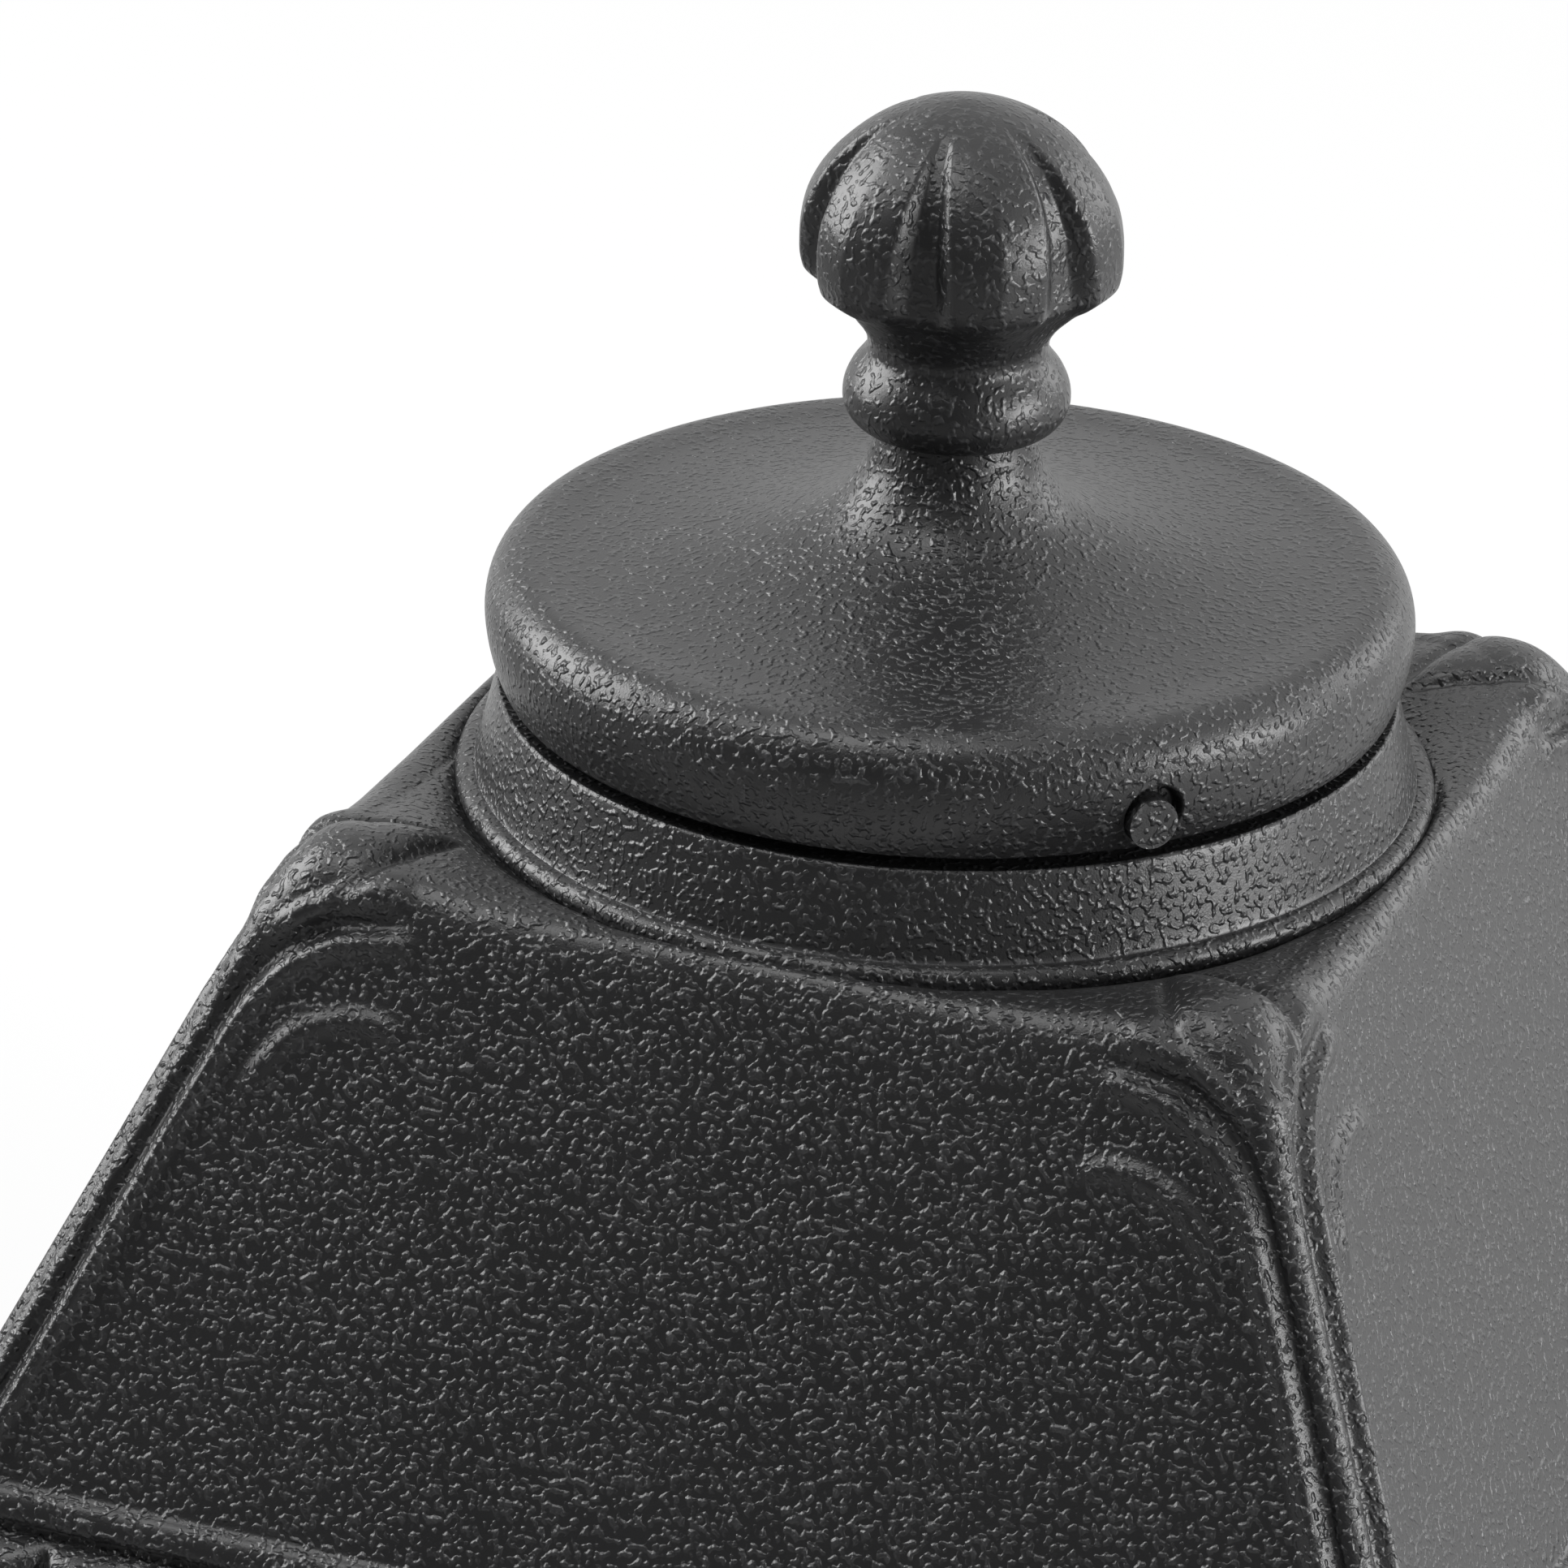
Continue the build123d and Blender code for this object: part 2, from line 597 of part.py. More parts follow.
def leaf():
    """Pointed leaf that lies over the hip between +X and -Y, from the bead down to the hip."""
    crest = Plane.XZ.rotated((0, 0, -45)) * ThreePointArc(
        (LEAF_TIP_R, RIM_Z - LEAF_TIP_DROP), (LEAF_CROWN_R, RIM_Z - LEAF_CROWN_DROP),
        (LEAF_TOE_R, RIM_Z - LEAF_TOE_DROP))
    sections = []
    for at, width in ((0, LEAF_TIP_W), (0.5, LEAF_CROWN_W), (1, LEAF_TOE_W)):
        across = Plane(origin=crest @ at, x_dir=(1, 1, 0), z_dir=crest % at)
        sections.append(across * Pos(0, -LEAF_ROOT) * Ellipse(width / 2, LEAF_ROOT))
    return loft(sections)


def roof_outside():
    """The casting's outside before it is hollowed."""
    shoulder_z = RIM_Z - SHOULDER_DROP
    body = rounded_frustum(EAVES_HALF, EAVES_Z, SHOULDER_HALF, shoulder_z, HIP_R)
    body = fillet(body.faces().sort_by(Axis.Z)[-1].edges(), SHOULDER_FILLET)
    foot = (DISH_R, RIM_Z - DISH_DROP)
    rim = (DISH_RIM_R, shoulder_z)
    dish = turned([
        Spline(foot, rim, tangents=[(1, 1), (1, 0)]),
        Polyline(rim, (DISH_R, shoulder_z), foot),
    ])
    return body - dish


def eaves_border():
    """Band, lobed frieze and lip round the eaves."""
    band_low = BAND_TOP_DROP + BAND_H
    band = rounded_frustum(
        roof_half(band_low) + BAND_PROUD, RIM_Z - band_low,
        roof_half(BAND_TOP_DROP) + BAND_PROUD, RIM_Z - BAND_TOP_DROP, HIP_R)
    half = roof_half(FRIEZE_TOP_DROP + FRIEZE_H / 2)
    count = int(2 * half / LOBE_PITCH)
    outline = Rectangle(2 * half, 2 * half)
    spots = [(i - (count - 1) / 2) * 2 * half / count for i in range(count)]
    outline += [
        Rot(0, 0, 90 * side) * Pos(u, -half - LOBE_PROUD + LOBE_R) * Circle(LOBE_R)
        for side in range(4) for u in spots]
    frieze_z = RIM_Z - FRIEZE_TOP_DROP - FRIEZE_H
    frieze = extrude(Pos(0, 0, frieze_z) * outline, FRIEZE_H)
    lip_half = EAVES_HALF + LIP_PROUD
    lip = extrude(Pos(0, 0, EAVES_Z) * RectangleRounded(2 * lip_half, 2 * lip_half, HIP_R), frieze_z - EAVES_Z)
    return [band, frieze, lip]


def collar():
    """Round collar, its bead and the neck that carries the cap."""
    root_z = RIM_Z - DISH_DROP - ROOF_WALL
    top_z = RIM_Z - COLLAR_TOP_DROP
    wall = turned(Polyline(
        (NECK_BORE_R, root_z), (NECK_BORE_R, RIM_Z - NECK_TOP_DROP), (NECK_R, RIM_Z - NECK_TOP_DROP),
        (NECK_R, top_z), (COLLAR_TOP_R, top_z), (COLLAR_ROOT_R, RIM_Z - COLLAR_ROOT_DROP),
        (BEAD_RING_R, RIM_Z - BEAD_DROP), (BEAD_RING_R, root_z), close=True))
    vent = Pos(NECK_R, 0, RIM_Z - NECK_TOP_DROP - NECK_VENT_H / 2) * Box(NECK_R, NECK_VENT_W, NECK_VENT_H)
    wall -= evenly(vent, SCREW_COUNT, SCREW_FROM + 180 / SCREW_COUNT)
    return wall + Pos(0, 0, RIM_Z - BEAD_DROP) * Torus(BEAD_RING_R, BEAD_R)


def roof_hollow():
    """Space under the roof's shell."""
    wall = ROOF_WALL * FACET_STRETCH
    ceiling_drop = DISH_DROP + ROOF_WALL
    return frustum(EAVES_HALF - wall, EAVES_Z, roof_half(ceiling_drop) - wall, RIM_Z - ceiling_drop)


def make_roof():
    half_ornament = facet_ornament()
    ornament = half_ornament + [mirror(line, about=Plane.YZ) for line in half_ornament]
    lines = [copy for line in ornament for copy in quarter_turns(line)]
    body = roof_outside().fuse(*eaves_border(), *lines, *quarter_turns(leaf()))
    hollow = roof_hollow()
    body = body - hollow - disc(NECK_BORE_R, RIM_Z - ROOF_DROP, ROOF_DROP) + collar()
    lug_z = ROOF_SEAT_Z + LUG_H / 2
    lug = Pos(ROOF_SCREW_AT, -ROOF_SCREW_AT, lug_z) * Box(LUG_SIZE, LUG_SIZE, LUG_H)
    corner = Box(LUG_SIZE, LUG_SIZE, LUG_H)
    lug += Pos(ROOF_SCREW_AT + LUG_SIZE / 2, -ROOF_SCREW_AT - LUG_SIZE / 2, lug_z) * corner
    hole = Pos(ROOF_SCREW_AT, -ROOF_SCREW_AT, 0) * disc(ROOF_SCREW_R + RUN_FIT, ROOF_SEAT_Z, ROOF_SCREW_BITE)
    return body.fuse(*quarter_turns((lug & hollow) - hole))


# Vent cap and finial

def make_cap():
    skirt_z = RIM_Z - CAP_SKIRT_DROP
    seat_z = RIM_Z - NECK_TOP_DROP
    bore = STUD_R + RUN_FIT
    eave_ceiling = RIM_Z + CAP_EAVE_CEILING_H
    neck_top = (CAP_NECK_R, FINIAL_Z)
    crest = (CAP_CREST_R, RIM_Z + CAP_CREST_H)
    outline = [
        Line((bore, FINIAL_Z), neck_top),
        Spline(neck_top, (CAP_BELL_R, RIM_Z + CAP_BELL_H), crest, tangents=[CAP_NECK_LEAVE, CAP_CREST_REACH]),
        ThreePointArc(crest, (CAP_SHOULDER_R, RIM_Z + CAP_SHOULDER_H), (CAP_R, RIM_Z)),
        Spline((CAP_R, RIM_Z), (CAP_SKIRT_R, skirt_z), tangents=[CAP_SKIRT_LEAVE, CAP_SKIRT_REACH]),
        Polyline(
            (CAP_SKIRT_R, skirt_z), (CAP_SKIRT_BORE_R, skirt_z), (CAP_SKIRT_BORE_R, eave_ceiling),
            (NECK_R + LOOSE, eave_ceiling), (NECK_R + LOOSE, seat_z), (NECK_BORE_R, seat_z),
            (NECK_BORE_R, eave_ceiling), (CAP_CEILING_R, RIM_Z + CAP_CEILING_H),
            (bore, RIM_Z + CAP_CEILING_H), (bore, FINIAL_Z)),
    ]
    return turned(outline) - cap_screw_row(SCREW_HOLE_R, CAP_R)


def cap_screw_row(radius, outer):
    """Radial pins through the cap's skirt that bear on the neck."""
    tip = NECK_R + LOOSE
    pin = Pos(tip, 0, RIM_Z - SCREW_DROP) * Rot(0, 90, 0) * disc(radius, 0, outer - tip)
    return evenly(pin, SCREW_COUNT, SCREW_FROM)


def make_cap_screws():
    return group(cap_screw_row(SCREW_R, CAP_R + SCREW_PROUD))


def make_finial():
    bore = STUD_R + RUN_FIT
    bead_z = RIM_Z + FINIAL_BEAD_H
    neck_z = RIM_Z + FINIAL_NECK_H
    dome_z = RIM_Z + DOME_H
    top_z = RIM_Z + DOME_TOP_H
    bead_half = bead_z - FINIAL_Z
    outline = [
        Line((0, FINIAL_Z + STUD_GRIP), (bore, FINIAL_Z + STUD_GRIP)),
        Line((bore, FINIAL_Z + STUD_GRIP), (bore, FINIAL_Z)),
        Line((bore, FINIAL_Z), (FINIAL_FOOT_R, FINIAL_Z)),
        Spline((FINIAL_FOOT_R, FINIAL_Z), (FINIAL_BEAD_R, bead_z), (FINIAL_FOOT_R, bead_z + bead_half),
               tangents=[FINIAL_FOOT_LEAVE, FINIAL_BEAD_REACH]),
        Spline((FINIAL_FOOT_R, bead_z + bead_half), (FINIAL_NECK_R, neck_z), (DOME_R, dome_z),
               tangents=[FINIAL_NECK_LEAVE, FINIAL_DOME_REACH]),
        Spline((DOME_R, dome_z), (DOME_MID_R, (dome_z + top_z) / 2), (0, top_z), tangents=[(0, 1), (-1, 0)]),
        Line((0, top_z), (0, FINIAL_Z + STUD_GRIP)),
    ]
    return turned(outline) - evenly(flute(), FLUTE_COUNT, FLUTE_TURN - 90)


def flute():
    """Groove that widens and deepens down the side of the dome, with a floor kept round the axis."""
    neck_z = RIM_Z + FINIAL_NECK_H
    dome_z = RIM_Z + DOME_H
    crown_z = RIM_Z + DOME_TOP_H + FLUTE_RUNOUT
    floor_foot = (DOME_R - FLUTE_DEPTH, dome_z)
    floor_middle = (DOME_MID_R - FLUTE_MID_DEPTH, (dome_z + crown_z) / 2)
    floor_top = (0, crown_z)
    floor = turned([
        Polyline(floor_top, (0, neck_z), (floor_foot[0], neck_z), floor_foot),
        Spline(floor_foot, floor_middle, floor_top, tangents=[(0, 1), (-1, 0)]),
    ])
    reach = DOME_R + FLUTE_DEPTH
    reach_w = FLUTE_W + (FLUTE_W - FLUTE_TOP_W) * FLUTE_DEPTH / (DOME_R - FLUTE_TOP_R)
    wedge = make_face(Polyline(
        (FLUTE_TOP_R, -FLUTE_TOP_W / 2), (reach, -reach_w / 2), (reach, reach_w / 2),
        (FLUTE_TOP_R, FLUTE_TOP_W / 2), close=True))
    low_z = (neck_z + dome_z) / 2
    return extrude(Pos(0, 0, low_z) * wedge, RIM_Z + DOME_TOP_H - low_z) - Rot(0, 0, 180) * floor


def make_finial_stud():
    low = RIM_Z + CAP_CEILING_H - STUD_WASHER_T - STUD_NUT_T - STUD_BELOW
    return disc(STUD_R, low, FINIAL_Z + STUD_GRIP - LOOSE - low)


def make_stud_washer():
    return ring(STUD_WASHER_R, STUD_R + RUN_FIT, RIM_Z + CAP_CEILING_H - STUD_WASHER_T, STUD_WASHER_T)


def make_stud_nut():
    low = RIM_Z + CAP_CEILING_H - STUD_WASHER_T - STUD_NUT_T
    return hex_nut(STUD_NUT_AF, STUD_R + RUN_FIT, low, STUD_NUT_T)


# Lampholder and lamp

def make_lampholder():
    bore = TUBE_R + RUN_FIT
    grip_z = HOLDER_Z + TUBE_GRIP
    rim_z = HOLDER_Z + HOLDER_H - HOLDER_RIM_H
    waist_z = HOLDER_Z + HOLDER_FOOT_H
    waist_r = HOLDER_R - HOLDER_WAIST_IN
    top = HOLDER_Z + HOLDER_H
    outline = Polyline(
        (0, grip_z), (bore, grip_z), (bore, HOLDER_Z), (HOLDER_FOOT_R, HOLDER_Z), (HOLDER_FOOT_R, waist_z),
        (waist_r, waist_z + HOLDER_FLARE_H), (waist_r, rim_z), (HOLDER_R, rim_z), (HOLDER_R, top),
        (HOLDER_BORE_R, top), (HOLDER_BORE_R, HOLDER_FLOOR_Z), (0, HOLDER_FLOOR_Z), close=True)
    return turned(outline)


def make_lamp_base():
    low = HOLDER_FLOOR_Z + LOOSE
    shell_z = low + LAMP_CONTACT_H
    return turned(Polyline(
        (0, low), (LAMP_CONTACT_R, low), (LAMP_CAP_R, shell_z), (LAMP_CAP_R, shell_z + LAMP_CAP_H),
        (0, shell_z + LAMP_CAP_H), close=True))


def make_lamp_globe():
    low = HOLDER_FLOOR_Z + LOOSE + LAMP_CONTACT_H + LAMP_CAP_H
    neck = low + GLOBE_NECK_H
    centre = neck + math.sqrt(GLOBE_R ** 2 - GLOBE_NECK_R ** 2)
    return turned([
        Polyline((0, low), (GLOBE_NECK_R, low), (GLOBE_NECK_R, neck)),
        ThreePointArc((GLOBE_NECK_R, neck), (GLOBE_R, centre), (0, centre + GLOBE_R)),
        Line((0, centre + GLOBE_R), (0, low)),
    ])


SIDES = ("front", "right", "back", "left")
PIECES = {
    "foot_gasket": make_foot_gasket(),
    "foot": make_foot(),
    "stem": make_stem(),
    "tie_tube": make_tie_tube(),
    "tube_nuts": make_tube_nuts(),
    "tube_washer": make_tube_washer(),
    "cable_bush": make_cable_bush(),
    "terminal_block": make_terminal_block(),
    "earth_screw": make_earth_screw(),
    "tray": make_tray(),
    "tray_screws": make_tray_screws(),
    "pane_clips": make_pane_clips(),
    "clip_screws": make_clip_screws(),
    "top_ring": make_top_ring(),
    "ring_screws": make_ring_screws(),
    "roof_screws": make_roof_screws(),
    "roof": make_roof(),
    "cap": make_cap(),
    "cap_screws": make_cap_screws(),
    "finial": make_finial(),
    "finial_stud": make_finial_stud(),
    "stud_washer": make_stud_washer(),
    "stud_nut": make_stud_nut(),
    "lampholder": make_lampholder(),
    "lamp_base": make_lamp_base(),
    "lamp_globe": make_lamp_globe(),
}
front_frame = make_front_frame()
front_pane = make_front_pane()
for turn, side in enumerate(SIDES):
    PIECES[f"side_frame_{side}"] = Rot(0, 0, 90 * turn) * front_frame
    PIECES[f"pane_{side}"] = Rot(0, 0, 90 * turn) * front_pane

os.makedirs("parts", exist_ok=True)
for name, piece in PIECES.items():
    export_step(piece, f"parts/{name}.step")
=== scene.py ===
import json
import math

import bpy
import numpy as np
from mathutils import Matrix, Vector


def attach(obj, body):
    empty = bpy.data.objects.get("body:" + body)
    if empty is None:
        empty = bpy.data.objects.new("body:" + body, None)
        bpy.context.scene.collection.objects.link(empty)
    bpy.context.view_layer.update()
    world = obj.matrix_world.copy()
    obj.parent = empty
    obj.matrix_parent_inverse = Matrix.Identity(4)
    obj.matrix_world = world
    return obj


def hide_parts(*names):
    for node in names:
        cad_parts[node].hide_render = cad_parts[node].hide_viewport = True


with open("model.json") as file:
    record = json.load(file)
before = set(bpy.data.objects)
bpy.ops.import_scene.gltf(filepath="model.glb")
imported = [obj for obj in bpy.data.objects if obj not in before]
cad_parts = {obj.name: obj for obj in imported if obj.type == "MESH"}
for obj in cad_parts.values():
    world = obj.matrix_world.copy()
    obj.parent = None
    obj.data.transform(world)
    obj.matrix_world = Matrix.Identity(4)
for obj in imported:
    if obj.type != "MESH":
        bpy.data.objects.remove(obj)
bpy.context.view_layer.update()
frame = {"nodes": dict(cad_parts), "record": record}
nodes = frame["nodes"]

# Shapes are in millimetres, and the heights of roof, cap and finial count from the cap's widest circle

MM = 0.001
RIM_Z = 351.0
CAP_R = 36.0
FULL_TURN = 2 * math.pi

# Helpers for meshes


def make_mesh(name, verts, faces, smooth=True):
    """A new object from vertices in millimetres."""
    mesh = bpy.data.meshes.new(name)
    mesh.from_pydata([tuple(v) for v in np.asarray(verts, float) * MM], [], faces)
    mesh.polygons.foreach_set("use_smooth", [smooth] * len(mesh.polygons))
    mesh.update()
    obj = bpy.data.objects.new(name, mesh)
    bpy.context.scene.collection.objects.link(obj)
    return obj


def loops_to_mesh(name, loops):
    """Quads between rings of equal point count, with the last ring joined to the first."""
    loops = np.asarray(loops, float)
    rows, cols = loops.shape[:2]
    i = np.arange(rows)[:, None]
    j = np.arange(cols)[None, :]
    next_i = (i + 1) % rows
    next_j = (j + 1) % cols
    corners = [i * cols + j, i * cols + next_j, next_i * cols + next_j, next_i * cols + j]
    faces = np.stack(corners, -1).reshape(-1, 4)
    return make_mesh(name, loops.reshape(-1, 3), faces.tolist())


def turned_row(radius, angle, height):
    """A ring about the lantern's axis; the radius may differ from angle to angle."""
    level = np.full(angle.shape, height + RIM_Z)
    return np.stack([radius * np.cos(angle), radius * np.sin(angle), level], -1)


def smoothstep(x, low, high):
    t = np.clip((np.asarray(x, float) - low) / (high - low), 0, 1)
    return t * t * (3 - 2 * t)


def polyline_distance(px, py, line):
    """Distance from points to a polyline, how far along it the nearest point is, and its length."""
    best = np.full(px.shape, np.inf)
    along = np.zeros(px.shape)
    run = 0.0
    for (ax, ay), (bx, by) in zip(line[:-1], line[1:]):
        dx, dy = bx - ax, by - ay
        length = math.hypot(dx, dy)
        t = np.clip(((px - ax) * dx + (py - ay) * dy) / length ** 2, 0, 1)
        dist = np.hypot(px - ax - t * dx, py - ay - t * dy)
        near = dist < best
        best = np.where(near, dist, best)
        along = np.where(near, run + t * length, along)
        run += length
    return best, along, run


def curve_through(points, per):
    """Smooth Catmull-Rom line through points, with so many steps between two of them."""
    p = np.asarray(points, float)
    p = np.vstack([2 * p[0] - p[1], p, 2 * p[-1] - p[-2]])
    out = []
    for k in range(1, len(p) - 2):
        for t in np.linspace(0, 1, per, endpoint=False):
            a, b, c, d = p[k - 1], p[k], p[k + 1], p[k + 2]
            out.append(0.5 * (2 * b + (c - a) * t + (2 * a - 5 * b + 4 * c - d) * t ** 2
                              + (3 * b - a - 3 * c + d) * t ** 3))
    out.append(p[-2])
    return np.array(out)


# Roof casting: sizes, with drops measured down from the rim

ROOF_SLOPE = 0.45             # outward for each millimetre down
STRETCH = math.hypot(1, ROOF_SLOPE)
SHOULDER_DROP, SHOULDER_HALF = 12.2, 38.9
SHOULDER_CORNER = 10.0        # rounding of the shoulder's square in plan
CORNER_RAISE = 1.0            # the shoulder's corners stand this much higher
CORNER_FROM, CORNER_TO = 22, 35
ROUND_IN_SHARE, ROUND_IN_MOST = 0.8, 3.6      # reach of the shoulder's rounding into the dish
ROUND_OUT_SHARE, ROUND_OUT_MOST = 0.92, 4.4   # and down the facet
HIP_ROUND = 2.2
DISH_EASE = 2.2
FACET_TOP_DROP, EAVES_DROP = 16.6, 74.0
FINE_STEP = 0.3

# Rows of a facet, close together over the ornament, and row counts of dish, rounding and the edge below it
FACET_DROPS = np.concatenate([np.arange(FACET_TOP_DROP, 34, FINE_STEP), np.linspace(34.4, 58.4, 42)])
DISH_ROWS, ROUND_ROWS, EDGE_ROWS = 24, 22, 8

# Columns of a facet's half: inset from the hip over the ornament, then shares of the plain middle
INSET_COLUMNS = np.concatenate([np.linspace(0, 3.0, 15), np.arange(3.25, 24.01, FINE_STEP)])
MIDDLE_COLUMNS = np.linspace(1, 0, 34)[1:]

# Profile of neck and collar as (radius, height), and the round bead at the collar's foot
NECK_AND_COLLAR = (
    (28.4, -1.0), (31.0, -1.0), (31.0, -6.2), (31.4, -6.55), (34.4, -6.5), (34.8, -6.32), (34.98, -6.3),
    (35.12, -6.6), (35.3, -7.3), (35.7, -8.9), (36.1, -10.5), (36.45, -11.9), (36.65, -12.75),
    (36.75, -13.0), (36.85, -13.16), (36.98, -13.2))
BEAD_MIDDLE_R, BEAD_DROP, BEAD_R = 37.15, 14.15, 1.1
BEAD_ANGLES = np.linspace(118, -60, 18)
BEAD_FOOT_R, BEAD_FOOT_DROP = 37.8, 15.1

# Middle lines of the raised ornament on a facet's right half, as (across, drop) in cap radii
HOOK_LINE = [
    (1.66, 1.87), (1.477, 1.456), (1.372, 1.222), (1.268, 0.981), (1.176, 0.783), (1.111, 0.648),
    (1.035, 0.554), (0.952, 0.501), (0.865, 0.473), (0.774, 0.466), (0.70, 0.49)]
CROOK_LINE = [
    (1.108, 0.548), (1.07, 0.49), (1.02, 0.446), (0.968, 0.418), (0.917, 0.396), (0.847, 0.378),
    (0.765, 0.372)]
ARC_LINE = [
    (1.102, 0.87), (1.083, 0.816), (1.048, 0.743), (0.98, 0.667), (0.9, 0.632), (0.83, 0.622),
    (0.775, 0.634), (0.735, 0.67)]
GROOVE_LINE = [
    (0.757, 0.406), (0.834, 0.436), (0.925, 0.449), (0.997, 0.468), (1.054, 0.506), (1.106, 0.573),
    (1.15, 0.65), (1.24, 0.84), (1.40, 1.2), (1.68, 1.83)]
LINE_STEPS = 12
HOOK = dict(width=2.0, height=0.8, fade_start=0, fade_end=6.0)
ARC = dict(width=1.9, height=0.55, fade_start=7.0, fade_end=3.0)
GROOVE = dict(width=1.6, height=0.45, fade_start=3.0, fade_end=0)
CROOK = dict(width=2.6, height=0.8, fade_start=5.0, fade_end=3.0)
RIDGE_FALL = 1.2              # how fast a ridge falls away beside its line
STEEP = 0.45                  # the ornament ends where the roof turns level

# Leaf over each hip, by the distance from the axis along the hip
LEAF_HALF = ([40.0, 43, 46, 50, 53, 57, 60], [0.3, 1.7, 3.0, 4.3, 4.1, 2.6, 1.8])
LEAF_RISE = ([40.0, 43, 46, 49, 52, 55, 58, 62], [0.0, 0.5, 0.85, 0.95, 0.8, 0.45, 0.2, 0.0])
CREASE_DEPTH = ([50, 58], [0.42, 0.25])
CREASE_START, CREASE_FULL = 40.0, 43.0
CREASE_AT, CREASE_W = 1.08, 0.6       # its place in half widths of the leaf, and its width

# Band as (drop, how far it stands out), lobed frieze, and lip
BAND = (
    (58.75, 0.1), (58.85, 0.45), (59.1, 0.8), (59.6, 0.95), (60.4, 0.95), (60.9, 0.8), (61.1, 0.4),
    (61.25, -0.2), (61.7, -0.35), (62.1, -0.2))
FRIEZE_AT_DROP, FRIEZE_TOP_DROP, FRIEZE_H = 66.2, 62.2, 8.2
FRIEZE_ROWS = 24
LOBES = 17
LOBE_ROOT, LOBE_OUT, LOBE_DOME = -1.6, 3.2, 0.35
LIP_PROUD, LIP_TUCK = 1.0, 1.0
LIP = ((-0.5, 70.55), (-0.1, 70.8), (0, 71.3), (0, 73.2), (-0.2, 73.8), (-0.8, 74.0))
LIP_TOP_DROP = 70.5
LIP_UNDERSIDE = ((63.8, 74.0), (63.4, 73.8))

# Inside of the shell
SHELL_T = 3.1
INSIDE_DROPS = (70, 60, 45, 30, 20, 17.9)
INSIDE_TOP = ((36.0, -17.7), (28.8, -17.7), (28.4, -17.4))


def roof_half(drop):
    """Half the roof's width at a drop."""
    return SHOULDER_HALF + ROOF_SLOPE * (drop - SHOULDER_DROP)


def ridge_height(u, drop, line, width, height, fade_start, fade_end):
    """Rounded ridge along a line in the facet's own plane, fading at its ends."""
    line = curve_through(np.array(line) * CAP_R, LINE_STEPS) * np.array([1, STRETCH])
    dist, along, total = polyline_distance(u, drop * STRETCH, line)
    bump = np.exp(-(dist / (0.5 * width)) ** 2 * RIDGE_FALL)
    ends = smoothstep(along, 0, fade_start) if fade_start else 1.0
    ends = ends * (smoothstep(total - along, 0, fade_end) if fade_end else 1.0)
    return height * bump * ends


def facet_loop(half, hip_round):
    """One facet's half loop, from the hip to the middle: x, y and the level part of the normal."""
    x, y, nx, ny = [], [], [], []
    for d in INSET_COLUMNS:
        if d < hip_round:
            angle = math.radians(45) * (1 - d / hip_round)
            middle = half - hip_round
            x.append(middle + hip_round * math.sin(angle))
            y.append(-middle - hip_round * math.cos(angle))
            nx.append(math.sin(angle))
            ny.append(-math.cos(angle))
        else:
            x.append(half - d)
            y.append(-half)
            nx.append(0)
            ny.append(-1)
    rest = half - INSET_COLUMNS[-1]
    for share in MIDDLE_COLUMNS:
        x.append(rest * share)
        y.append(-half)
        nx.append(0)
        ny.append(-1)
    return np.array(x), np.array(y), np.array(nx), np.array(ny)


def full_ring(x, y, z):
    """All eight half facets of a ring from the front facet's right half."""
    right = np.stack([x, y, z], -1)
    left = right[::-1] * np.array([-1, 1, 1])
    facet = np.vstack([right[:-1], left[:-1]])
    ring = []
    for turn in range(4):
        c, s = math.cos(math.radians(-90 * turn)), math.sin(math.radians(-90 * turn))
        spun = facet.copy()
        spun[:, 0] = c * facet[:, 0] - s * facet[:, 1]
        spun[:, 1] = s * facet[:, 0] + c * facet[:, 1]
        ring.append(spun)
    return np.vstack(ring)


def square_row(half, drop, proud=0.0):
    """A square ring with rounded hips, moved out by so much."""
    x, y, nx, ny = facet_loop(half, HIP_ROUND)
    return full_ring(x + proud * nx, y + proud * ny, np.full(x.shape, RIM_Z - drop))


def round_row(radius, height):
    """A round ring with the same columns as the square ones."""
    x, y, _, _ = facet_loop(SHOULDER_HALF, HIP_ROUND)
    angle = np.arctan2(x, -y)
    return full_ring(radius * np.sin(angle), -radius * np.cos(angle), np.full(x.shape, RIM_Z + height))


def leaf_height(x, y):
    """How far the pointed leaf over each hip stands up, with a crease on each side of it."""
    along = (x - y) / math.sqrt(2)
    aside = np.abs(x + y) / math.sqrt(2)
    half = np.interp(along, *LEAF_HALF)
    rise = np.interp(along, *LEAF_RISE)
    crown = np.clip(1 - (aside / half) ** 2, 0, 1)
    crease = np.exp(-((aside - half * CREASE_AT) / CREASE_W) ** 2)
    crease = crease * smoothstep(along, CREASE_START, CREASE_FULL)
    return rise * crown - np.interp(along, *CREASE_DEPTH) * crease


